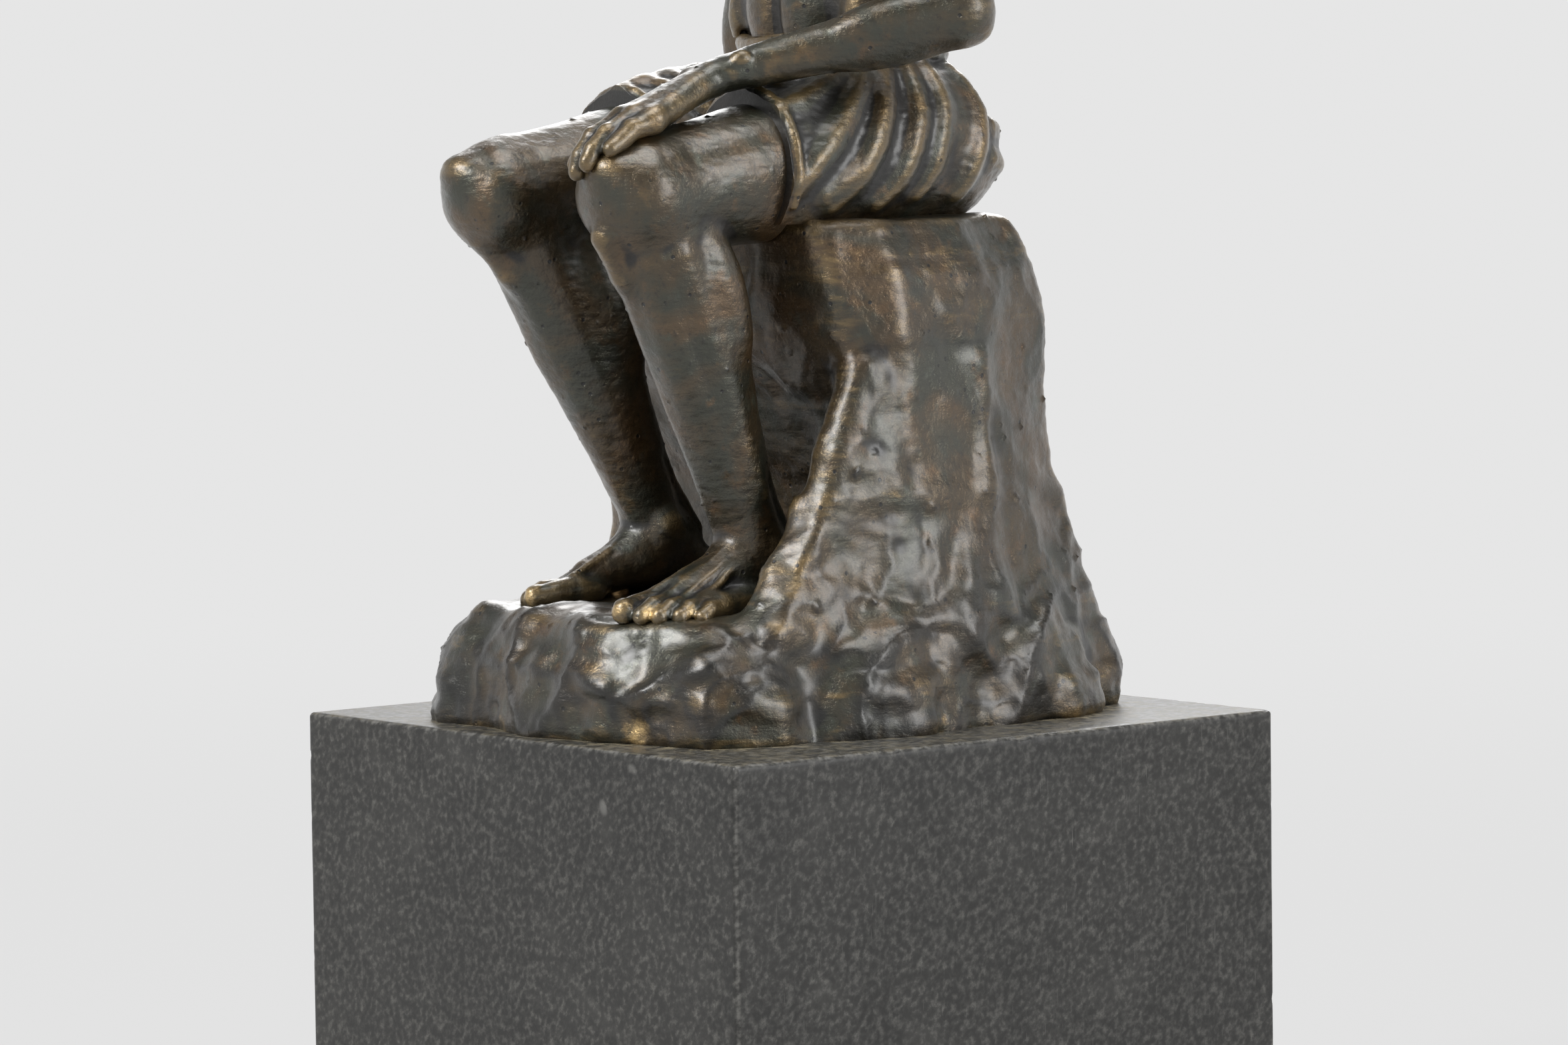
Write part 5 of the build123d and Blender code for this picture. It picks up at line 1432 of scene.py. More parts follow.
class RockForm(Sculpt):
    """The rock: seat boulder, ledge, flank and clods, with gouges, a chased seam and footings."""

    LEFT, RIGHT, FRONT, BACK = 36.0, 46.0, 17.0, 46.0
    LEDGE_LEFT, LEDGE_RIGHT, LEDGE_FRONT, LEDGE_TAIL = 35.0, 36.0, 46.0, 12.0
    OUTLINE = (
        (0.42, -1.0), (0.86, -0.80), (1.0, -0.22), (0.93, 0.40), (0.74, 0.86), (0.20, 1.0),
        (-0.38, 0.95), (-0.82, 0.80), (-1.0, 0.30), (-0.92, -0.42), (-0.72, -0.88), (-0.20, -0.96),
    )
    BOULDER = (
        (0.0, 1.0, 1.0, 0.04, 1.0), (0.22, 0.97, 0.98, 0.05, 0.935), (0.37, 0.92, 0.96, 0.08, 0.86),
        (0.48, 0.875, 0.95, 0.16, 0.795), (0.66, 0.865, 0.96, 0.55, 0.775), (0.80, 0.86, 0.975, 0.82, 0.77),
        (0.90, 0.83, 0.98, 0.93, 0.745), (1.0, 0.74, 0.93, 1.0, 0.64),
    )
    LEDGE = ((0.0, 1.0, 1.0, 1.0), (0.55, 0.96, 0.95, 0.97), (1.0, 0.87, 0.88, 0.93))
    FLANK = (
        (0.0, ((0.55, 0.84), (0.95, 0.76), (1.0, 0.10), (0.98, -0.28), (0.50, -0.28))),
        (0.22, ((0.74, 0.66), (0.93, 0.60), (0.97, 0.10), (0.94, -0.28), (0.50, -0.28))),
        (0.46, ((0.76, 0.40), (0.87, 0.38), (0.92, 0.10), (0.90, -0.28), (0.50, -0.28))),
        (0.72, ((0.79, 0.22), (0.83, 0.21), (0.87, 0.08), (0.86, -0.28), (0.50, -0.28))),
    )
    CLOD_OUTLINE = (
        (1.0, 0.25), (0.55, 0.9), (-0.3, 1.0), (-0.95, 0.5), (-0.9, -0.45), (-0.2, -1.0), (0.7, -0.75),
    )
    CLOD_LEVELS = ((0.0, 1.0), (0.4, 0.90), (0.75, 0.70), (1.0, 0.42))
    CLODS = (
        (0.62, 0.70, 0.32, 0.26, 0.92), (0.02, 0.80, 0.34, 0.20, 0.78), (-0.58, 0.70, 0.30, 0.26, 0.95),
        (-0.90, 0.30, 0.20, 0.34, 0.80), (0.82, 0.22, 0.22, 0.32, 1.0), (0.82, -0.42, 0.20, 0.32, 0.90),
        (0.60, -0.74, 0.22, 0.18, 0.85), (-0.30, -0.82, 0.34, 0.20, 0.80),
    )
    BAND_JOIN = 0.6
    JOIN = 2.5
    SEAM = (
        (33.0, -11.5, 70), (33.8, -9.6, 58), (34.6, -7.4, 46), (35.4, -5.0, 32), (35.6, -2.6, 18),
        (36.0, -0.6, 5),
    )
    SEAM_RADIUS, SEAM_BLEND = 0.55, 0.6
    SOLE_MOUNDS = ((0, -3.0, 0.1, 6.6), (0, 6.0, 0.0, 7.4), (-0.4, 15.0, 0.0, 8.2))
    MOUND_DROP, MOUND_RISE = 1.2, 2.2
    PLUG_SWELL, PLUG_COVER = (4.0, 9.0), 0.9
    GOUGES = 26
    GOUGE_SEED = 5
    GOUGE_RING, GOUGE_RING_BACK = 38.0, 6.0
    GOUGE_HEIGHTS, GOUGE_TILTS, GOUGE_RUNS, GOUGE_DEPTHS = (8, 66), (-0.5, 0.5), (4, 10), (0.6, 1.1)
    GOUGE_STEPS = (-1.0, -0.3, 0.4, 1.0)
    GOUGE_END, GOUGE_TAPER, GOUGE_LIFT, GOUGE_BLEND = 0.2, 0.8, 0.35, 1.4

    def __init__(self, bones: Skeleton) -> None:
        """Model the blocks, then what the chasing left on them."""
        super().__init__()
        self.foot = bones.plinth_top
        self.ledge_rise = bones.ledge - bones.plinth_top
        self.seat_rise = bones.seat - bones.plinth_top
        self.build_blocks()
        for side in Side:
            foot = bones.foot_frame(side)
            for out, front, height, radius in self.SOLE_MOUNDS:
                middle = foot.at((out, front, height - self.MOUND_DROP))
                self.ball(middle, (radius, radius, self.MOUND_RISE), self.JOIN)
        self.cover_plugs()
        seam = self.settle([np.add(place, Z_AXIS * bones.plinth_top) for place in self.SEAM])
        self.gouge(bones)
        self.bar(seam, [self.SEAM_RADIUS] * len(seam), self.SEAM_BLEND)

    def build_blocks(self) -> None:
        """Boulder, ledge, flank and clods, each a stack of blocks from level to level."""
        self.stack([
            self.level(
                self.seat_rise * height, self.LEFT * left, self.RIGHT * right, self.FRONT * front,
                self.BACK * back,
            )
            for height, left, right, front, back in self.BOULDER
        ], self.BAND_JOIN)
        self.stack([
            self.level(
                self.ledge_rise * height, self.LEDGE_LEFT * left, self.LEDGE_RIGHT * right,
                self.LEDGE_FRONT * front, self.LEDGE_TAIL,
            )
            for height, left, right, front in self.LEDGE
        ], self.JOIN)
        self.stack([
            np.array([
                (x * self.LEDGE_LEFT, -y * self.LEDGE_FRONT, self.foot + self.seat_rise * height)
                for x, y in corners
            ])
            for height, corners in self.FLANK
        ], self.JOIN)
        for left, front, width, depth, rise in self.CLODS:
            x = left * (self.LEDGE_LEFT if left > 0 else self.LEDGE_RIGHT)
            middle = np.array([x, -front * self.LEDGE_FRONT, self.foot])
            half = np.array([width * self.LEDGE_FRONT, depth * self.LEDGE_FRONT, rise * self.ledge_rise])
            self.stack([
                np.array([
                    middle + half * (size * across, size * back, height)
                    for across, back in self.CLOD_OUTLINE
                ])
                for height, size in self.CLOD_LEVELS
            ], self.JOIN)

    def cover_plugs(self) -> None:
        """Swell the faces over the core plugs, which were chased away."""
        low, high = (np.array(corner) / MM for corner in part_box("core_plugs"))
        radius, height = (high[2] - low[2]) / 2, (high[2] + low[2]) / 2
        places = [(0, high[1], height), (high[0], low[1] + radius, height), (low[0], low[1] + radius, height)]
        thick, wide = self.PLUG_SWELL
        for spot, above in zip(self.settle(places), self.settle(places, lift=1.0)):
            outward = unit(above - spot)
            across = unit(np.cross(Z_AXIS, outward))
            axes = np.stack([across, np.cross(outward, across), outward])
            self.add(Lump(spot + outward * (self.PLUG_COVER - thick), (wide, wide, thick), axes), self.JOIN)

    def level(self, rise: float, left: float, right: float, front: float, back: float) -> np.ndarray:
        """Corners of one level: the outline stretched to its reach on each of its four sides."""
        return np.array([
            (x * (left if x > 0 else right), y * (back if y > 0 else front), self.foot + rise)
            for x, y in self.OUTLINE
        ])

    def stack(self, levels: Sequence[np.ndarray], join: float) -> None:
        """Add the block between each level and the next."""
        for lower, upper in zip(levels, levels[1:]):
            self.add(Crag.between(lower, upper), join)

    def gouge(self, bones: Skeleton) -> None:
        """Long shallow gouges that the modeller's tool left across the faces."""
        chance = np.random.default_rng(self.GOUGE_SEED)
        lines, depths = [], []
        for _ in range(self.GOUGES):
            turn = chance.uniform(0, 2 * pi)
            height = bones.plinth_top + chance.uniform(*self.GOUGE_HEIGHTS)
            back = self.GOUGE_RING_BACK + self.GOUGE_RING * sin(turn)
            middle = np.array([self.GOUGE_RING * cos(turn), back, height])
            along = np.array([-sin(turn), cos(turn), chance.uniform(*self.GOUGE_TILTS)])
            run = along * chance.uniform(*self.GOUGE_RUNS)
            lines += [middle + step * run for step in self.GOUGE_STEPS]
            depths.append(chance.uniform(*self.GOUGE_DEPTHS))
        laid = self.settle(lines, lift=self.GOUGE_LIFT).reshape(self.GOUGES, -1, 3)
        for points, depth in zip(laid, depths):
            radii = np.array([self.GOUGE_END, depth, depth * self.GOUGE_TAPER, self.GOUGE_END])
            self.cut(Strand(points, radii), self.GOUGE_BLEND)


class FormCasting(Casting):
    """A section that shows one sculpt."""

    def __init__(self, form: Sculpt, **about: object) -> None:
        """Keep the sculpt."""
        super().__init__(**about)
        self.form = form

    def field(self, grid: Grid) -> np.ndarray:
        """Distance field of the sculpt."""
        return self.form.fill(grid)


class RockCasting(FormCasting):
    """The rock, left rough on its lower front and smoother on the seat's block."""

    EASE = 1.1
    ROUGH_HEIGHTS = (10.0, 30.0)
    ROUGH_FLOOR = 0.3
    SEAT_CALM = 7.0
    FOOT_CALM = 6.0
    SEAT_MARGIN = 1.0
    SOLE_ENDS = (-4.0, 19.0)

    def __init__(self, bones: Skeleton, faces: RockFaces, tree: CragTree, **about: object) -> None:
        """Keep what the broken faces need."""
        super().__init__(**about)
        self.bones, self.faces, self.tree = bones, faces, tree

    def field(self, grid: Grid) -> np.ndarray:
        """Distance field of the rock, its edges and corners eased."""
        return blurred(super().field(grid), max(1, round(self.EASE / grid.pitch)))

    def roughen(self, piece: bpy.types.Object, places: np.ndarray, finish: bpy.types.Material) -> None:
        """Break up the faces, but not under the figure's feet, lap and hand."""
        low, high = self.ROUGH_HEIGHTS
        height = places[:, 2] - self.bones.plinth_top
        rough = self.ROUGH_FLOOR + (1 - self.ROUGH_FLOOR) * np.clip((high - height) / (high - low), 0, 1)
        rough *= np.clip((self.bones.seat - self.SEAT_MARGIN - places[:, 2]) / self.SEAT_CALM, 0, 1)
        for side in Side:
            foot = self.bones.foot_frame(side)
            start, end = (foot.at((0, place, 0)) for place in self.SOLE_ENDS)
            share = np.clip((places - start) @ (end - start) / np.dot(end - start, end - start), 0, 1)
            away = np.linalg.norm(places - start - share[:, None] * (end - start), axis=1)
            rough *= np.clip((away - self.FOOT_CALM) / self.FOOT_CALM, 0, 1)
        self.store(piece.data, "rough", rough)
        self.tree.apply(piece, self.faces, finish)


class JoinedCasting(Casting):
    """A section cut from the body where an arm grows out of it."""

    ARMPIT = (190.0, 197.0)
    JOIN = 3.0

    def __init__(self, own: Sculpt, others: Sequence[Sculpt], **about: object) -> None:
        """Keep the section's own form, and those that join it above the armpits."""
        super().__init__(**about)
        self.own, self.others = own, others

    def field(self, grid: Grid) -> np.ndarray:
        """Distance field of the section's form, joined to the others above the armpits."""
        alone = self.own.fill(grid)
        joined = alone
        for other in self.others:
            joined = soft_min(joined, other.fill(grid), self.JOIN)
        low, high = self.ARMPIT
        height = grid.lines(np.zeros(3, int), grid.count)[2]
        share = np.clip((height - low) / (high - low), 0, 1)
        return alone * (1 - share) + joined * share


@dataclass
class Plinth:
    """The square block of honed stone, with worn arrises and dust at the foot of the rock."""

    node: str = "plinth"
    pitch: float = 0.85
    rounding: float = 0.7
    edge_steps: Sequence[float] = (0.18, 0.38, 0.62, 0.95)
    edge_band: float = 1.4
    weld: float = 0.01
    arris_reach: float = 1.1
    chip_size: float = 2.6
    chip_depth: float = 0.75
    wear_size: float = 9.0
    wear_depth: float = 0.18
    dust_reach: float = 2.2
    dust_depth: float = 0.2
    seed: float = 2.0

    def lines(self, half: float) -> np.ndarray:
        """Places of the grid lines across one face, closer together near its edges."""
        reach, count = half - self.edge_band, max(2, round(2 * half / self.pitch))
        inner = np.linspace(-reach, reach, count)
        edge = np.array([0.0, *self.edge_steps])
        return np.concatenate([edge - half, inner, half - edge[::-1]])

    def build(self, arris: ArrisTree, finish: bpy.types.Material, rock: Sculpt) -> bpy.types.Object:
        """Make the block in its CAD node's place.

        Args:
            arris: Tree that wears its edges.
            finish: Its material.
            rock: Form of the rock that stands on it, for the dust along its foot.

        Returns:
            The finished piece.
        """
        low, high = (np.array(corner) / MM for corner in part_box(self.node))
        centre, half = (low + high) / 2, (high - low) / 2
        work = bmesh.new()
        for axis in range(3):
            across, up = (axis + 1) % 3, (axis + 2) % 3
            for end in (-1, 1):
                self.face(work, half, axis, across, up, end)
        bmesh.ops.remove_doubles(work, verts=work.verts, dist=self.weld)
        for face in work.faces:
            face.smooth = True
        bmesh.ops.recalc_face_normals(work, faces=work.faces)
        mesh = bpy.data.meshes.new(self.node + "_form")
        work.to_mesh(mesh)
        work.free()
        points = np.array([vert.co for vert in mesh.vertices])
        gaps = np.sort(half - np.abs(points), axis=1)
        Casting.store(mesh, "arris", np.clip(1 - gaps[:, 1] / self.arris_reach, 0, 1))
        inner = np.clip(points, -(half - self.rounding), half - self.rounding)
        outwards = points - inner
        places = centre + inner + outwards * (self.rounding / np.linalg.norm(outwards, axis=1, keepdims=True))
        top = places[:, 2] > high[2] - self.dust_depth
        dust = np.zeros(len(places))
        dust[top] = np.exp(-np.maximum(rock.at(places[top]), 0) / self.dust_reach)
        Casting.store(mesh, "dust", dust)
        mesh.vertices.foreach_set("co", (places * MM).astype(np.float32).ravel())
        mesh.update()
        piece = bpy.data.objects.new(self.node + "_stone", mesh)
        bpy.context.scene.collection.objects.link(piece)
        arris.apply(piece, self, finish)
        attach(piece, BODY)
        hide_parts(self.node)
        log.info("%s: %d faces", piece.name, len(piece.data.polygons))
        return piece

    def face(
        self, work: bmesh.types.BMesh, half: np.ndarray, axis: int, across: int, up: int, end: int,
    ) -> None:
        """Add one gridded face of the block, round the origin."""
        rows = []
        for height in self.lines(half[up]):
            row = []
            for reach in self.lines(half[across]):
                place = np.zeros(3)
                place[axis], place[across], place[up] = end * half[axis], reach, height
                row.append(work.verts.new(place))
            rows.append(row)
        for lower, upper in zip(rows, rows[1:]):
            for first, second, third, fourth in zip(lower, lower[1:], upper[1:], upper):
                work.faces.new((first, second, third, fourth))


@dataclass(frozen=True)
class BronzeFinish:
    """Waxed brown and green patina, dark in the hollows and rubbed bright in places."""

    brown: Colour = (0.054, 0.035, 0.014, 1)
    olive: Colour = (0.031, 0.032, 0.020, 1)
    dark: Colour = (0.004, 0.0036, 0.0032, 1)
    rust: Colour = (0.105, 0.055, 0.018, 1)
    verdigris: Colour = (0.058, 0.068, 0.050, 1)
    rubbed: Colour = (0.210, 0.140, 0.054, 1)
    bright: Colour = (0.68, 0.47, 0.20, 1)
    metal: float = 0.6
    wax: float = 0.9

    def material(self) -> bpy.types.Material:
        """The node material."""
        finish, nodes = new_finish(Slot.BRONZE.value)
        place = nodes.place()
        stored = nodes.attribute
        relief, rub = stored("relief"), stored("rub")
        pit = nodes.math("MAXIMUM", stored("pit"), stored("crease"))
        patches = nodes.noise(place, 75.0, 4.0, 0.6, 0.6)
        clouds = nodes.noise(place, 230.0, 5.0, 0.62)
        grain = nodes.noise(place, 1000.0, 4.0, 0.6)
        specks = nodes.noise(place, 2400.0, 2.0, 0.5)
        drawn = nodes.put("ShaderNodeMapping", {"Vector": place, "Scale": (1.0, 1.0, 4.5)}).outputs[0]
        rasp = nodes.noise(drawn, 190.0, 5.0, 0.65, 0.4)
        scattered = nodes.put("ShaderNodeTexVoronoi", {"Vector": place, "Scale": 620.0})
        chosen = nodes.range(
            nodes.put("ShaderNodeSeparateColor", {0: scattered.outputs["Color"]}).outputs[0], 0.84, 0.92,
        )
        hole = nodes.times(nodes.range(scattered.outputs["Distance"], 0.24, 0.10), chosen)
        colour = nodes.mix(nodes.range(patches, 0.40, 0.62), self.olive, self.brown)
        colour = nodes.mix(
            nodes.range(nodes.noise(place, 38.0, 3.0, 0.6, 0.8), 0.50, 0.66, 0.0, 0.6), colour, self.rust,
        )
        colour = nodes.mix(nodes.range(clouds, 0.55, 0.74, 0.0, 0.7), colour, self.rust)
        colour = nodes.mix(nodes.range(clouds, 0.42, 0.26, 0.0, 0.6), colour, self.verdigris)
        colour = nodes.mix(nodes.range(grain, 0.45, 0.25, 0.0, 0.6), colour, self.dark)
        uneven = nodes.plus(relief, nodes.times(nodes.minus(clouds, 0.5), 0.8))
        filed = nodes.times(nodes.minus(rasp, 0.5), nodes.range(stored("rough"), 0.0, 0.1, 1.1, 2.4))
        ridge = nodes.plus(uneven, filed)
        colour = nodes.mix(nodes.range(ridge, 0.45, 1.25, 0.0, 0.62), colour, self.rubbed)
        colour = nodes.mix(nodes.range(uneven, -0.10, -0.60, 0.0, 0.92), colour, self.dark)
        colour = nodes.mix(nodes.math("MAXIMUM", nodes.times(pit, 0.8), hole), colour, self.dark)
        worn = nodes.plus(rub, nodes.times(nodes.minus(clouds, 0.55), 1.6))
        shine = nodes.times(nodes.range(worn, 0.35, 0.95), nodes.range(specks, 0.25, 0.45, 0.5, 1.0))
        shine = nodes.times(shine, nodes.range(rub, 0.02, 0.2))
        colour = nodes.mix(shine, colour, self.bright)
        rough = nodes.minus(nodes.range(grain, 0.3, 0.75, 0.28, 0.44), nodes.times(shine, 0.08))
        rough = nodes.plus(rough, nodes.range(uneven, 0.0, -0.6, 0.0, 0.25))
        height = nodes.plus(nodes.times(grain, 0.7), nodes.times(rasp, 0.9))
        height = nodes.plus(height, nodes.times(specks, 0.35))
        dabs = nodes.times(scattered.outputs["Distance"], nodes.range(patches, 0.42, 0.58, 0.1, 0.7))
        height = nodes.minus(height, dabs)
        height = nodes.minus(height, nodes.times(hole, 1.2))
        bump = nodes.put("ShaderNodeBump", {"Height": height, "Strength": 0.6, "Distance": 0.0004})
        nodes.principled({
            "Base Color": colour, "Metallic": self.metal, "Roughness": rough, "Normal": bump.outputs[0],
            "Coat Weight": self.wax, "Coat Roughness": 0.33,
        })
        return finish


@dataclass(frozen=True)
class StoneFinish:
    """Honed dark stone with paler mottling, faint veins, scratches and pale arrises."""

    dark: Colour = (0.014, 0.0137, 0.0125, 1)
    grey: Colour = (0.036, 0.035, 0.032, 1)
    pale: Colour = (0.122, 0.119, 0.108, 1)
    arris: Colour = (0.23, 0.225, 0.21, 1)
    dust: Colour = (0.26, 0.22, 0.14, 1)

    def material(self) -> bpy.types.Material:
        """The node material."""
        finish, nodes = new_finish(Slot.STONE.value)
        place = nodes.place()
        stored = nodes.attribute
        slant = {"Vector": place, "Rotation": (0.0, 0.955, 0.785), "Scale": (1.0, 1.0, 1.35)}
        slanted = nodes.put("ShaderNodeMapping", slant, vector_type="TEXTURE").outputs[0]
        mottle = nodes.noise(slanted, 1080.0, 3.0, 0.55)
        grain = nodes.noise(place, 4200.0, 2.0, 0.6)
        broad = nodes.noise(place, 45.0, 4.0, 0.6, 1.2)
        colour = nodes.mix(nodes.range(mottle, 0.36, 0.62), self.dark, self.grey)
        flecks = nodes.times(nodes.range(mottle, 0.50, 0.76), nodes.range(grain, 0.30, 0.60, 0.35, 1.0))
        flecks = nodes.times(flecks, nodes.range(broad, 0.35, 0.6, 0.45, 1.0))
        colour = nodes.mix(flecks, colour, self.pale)
        colour = nodes.mix(nodes.range(broad, 0.38, 0.66, 0.0, 0.34), colour, self.grey)
        lay = nodes.put("ShaderNodeMapping", {"Vector": place, "Rotation": (0.4, 0.7, 0.3)})
        vein = nodes.put("ShaderNodeTexWave", {
            "Vector": lay.outputs[0], "Scale": 16.0, "Distortion": 5.0, "Detail": 3.0, "Detail Scale": 1.4,
            "Detail Roughness": 0.55,
        })
        lines = nodes.times(nodes.range(vein.outputs["Fac"], 0.90, 1.0), nodes.range(broad, 0.42, 0.62))
        colour = nodes.mix(nodes.times(lines, 0.07), colour, self.pale)
        scratches = []
        for turn, scale in ((0.6, 150.0), (-0.9, 190.0)):
            line = nodes.put(
                "ShaderNodeMapping",
                {"Vector": place, "Rotation": (turn, turn * 0.7, turn * 1.3), "Scale": (1.0, 40.0, 1.0)},
            )
            scratches.append(nodes.range(nodes.noise(line.outputs[0], scale, 1.0, 0.4), 0.77, 0.82))
        scratch = nodes.math("MAXIMUM", scratches[0], scratches[1])
        colour = nodes.mix(nodes.times(scratch, 0.4), colour, self.arris)
        edge = nodes.times(
            nodes.range(stored("arris"), 0.35, 0.9), nodes.range(mottle, 0.35, 0.62, 0.15, 0.8),
        )
        edge = nodes.math(
            "MAXIMUM", nodes.times(edge, 0.55), nodes.range(stored("chip"), 0.15, 0.6), clamp=True,
        )
        colour = nodes.mix(nodes.times(edge, 0.8), colour, self.arris)
        powder = nodes.times(
            stored("dust"), nodes.range(nodes.noise(place, 420.0, 4.0, 0.7), 0.42, 0.62, 0.05, 0.8),
        )
        colour = nodes.mix(powder, colour, self.dust)
        rough = nodes.plus(nodes.range(mottle, 0.3, 0.7, 0.34, 0.48), nodes.times(powder, 0.3))
        height = nodes.minus(nodes.times(grain, 0.5), scratch)
        bump = nodes.put("ShaderNodeBump", {"Height": height, "Strength": 0.2, "Distance": 0.00012})
        nodes.principled({
            "Base Color": colour, "Roughness": rough, "Normal": bump.outputs[0], "Specular IOR Level": 0.42,
        })
        return finish


@dataclass(frozen=True)
class PlainFinish:
    """A turned, sawn, plated or pressed finish for the pieces that the statue hides."""

    slot: Slot
    low: Colour
    high: Colour
    metal: float
    rough: float
    scale: float
    stretch: Triple = (1.0, 1.0, 1.0)
    bump: float = 0.2

    def material(self) -> bpy.types.Material:
        """The node material."""
        finish, nodes = new_finish(self.slot.value)
        place = nodes.place()
        drawn = nodes.put("ShaderNodeMapping", {"Vector": place, "Scale": self.stretch}).outputs[0]
        grain = nodes.noise(drawn, self.scale, 5.0, 0.6)
        stain = nodes.noise(place, self.scale * 0.12, 3.0, 0.5)
        colour = nodes.mix(nodes.range(grain, 0.32, 0.68), self.low, self.high)
        colour = nodes.mix(nodes.range(stain, 0.55, 0.75, 0.0, 0.4), colour, self.low)
        rough = nodes.range(grain, 0.3, 0.7, self.rough, self.rough + 0.2)
        bump = nodes.put("ShaderNodeBump", {"Height": grain, "Strength": self.bump, "Distance": 0.0002})
        nodes.principled({
            "Base Color": colour, "Metallic": self.metal, "Roughness": rough, "Normal": bump.outputs[0],
        })
        return finish


FELT = PlainFinish(Slot.FELT, (0.010, 0.016, 0.012, 1), (0.032, 0.046, 0.038, 1), 0.0, 0.8, 2200.0, bump=0.8)
RAW_BRONZE = PlainFinish(
    Slot.RAW_BRONZE, (0.42, 0.26, 0.12, 1), (0.62, 0.42, 0.22, 1), 1.0, 0.25, 900.0, (1.0, 1.0, 8.0),
)
STEEL = PlainFinish(
    Slot.STEEL, (0.46, 0.46, 0.45, 1), (0.66, 0.66, 0.67, 1), 1.0, 0.28, 1200.0, (1.0, 1.0, 5.0),
)


@dataclass(frozen=True)
class Lamp:
    """A soft box aimed at the statue."""

    name: str
    place: Triple
    size: tuple[float, float]
    power: float
    colour: Triple = (1.0, 1.0, 1.0)

    def build(self, target: Triple) -> None:
        """Hang the lamp and aim it."""
        light = bpy.data.lights.new(self.name, "AREA")
        light.shape = "RECTANGLE"
        light.size, light.size_y = self.size
        light.energy = self.power
        light.color = self.colour
        lamp = bpy.data.objects.new(self.name, light)
        lamp.location = self.place
        lamp.rotation_euler = (Vector(target) - Vector(self.place)).to_track_quat("-Z", "Y").to_euler()
        bpy.context.scene.collection.objects.link(lamp)


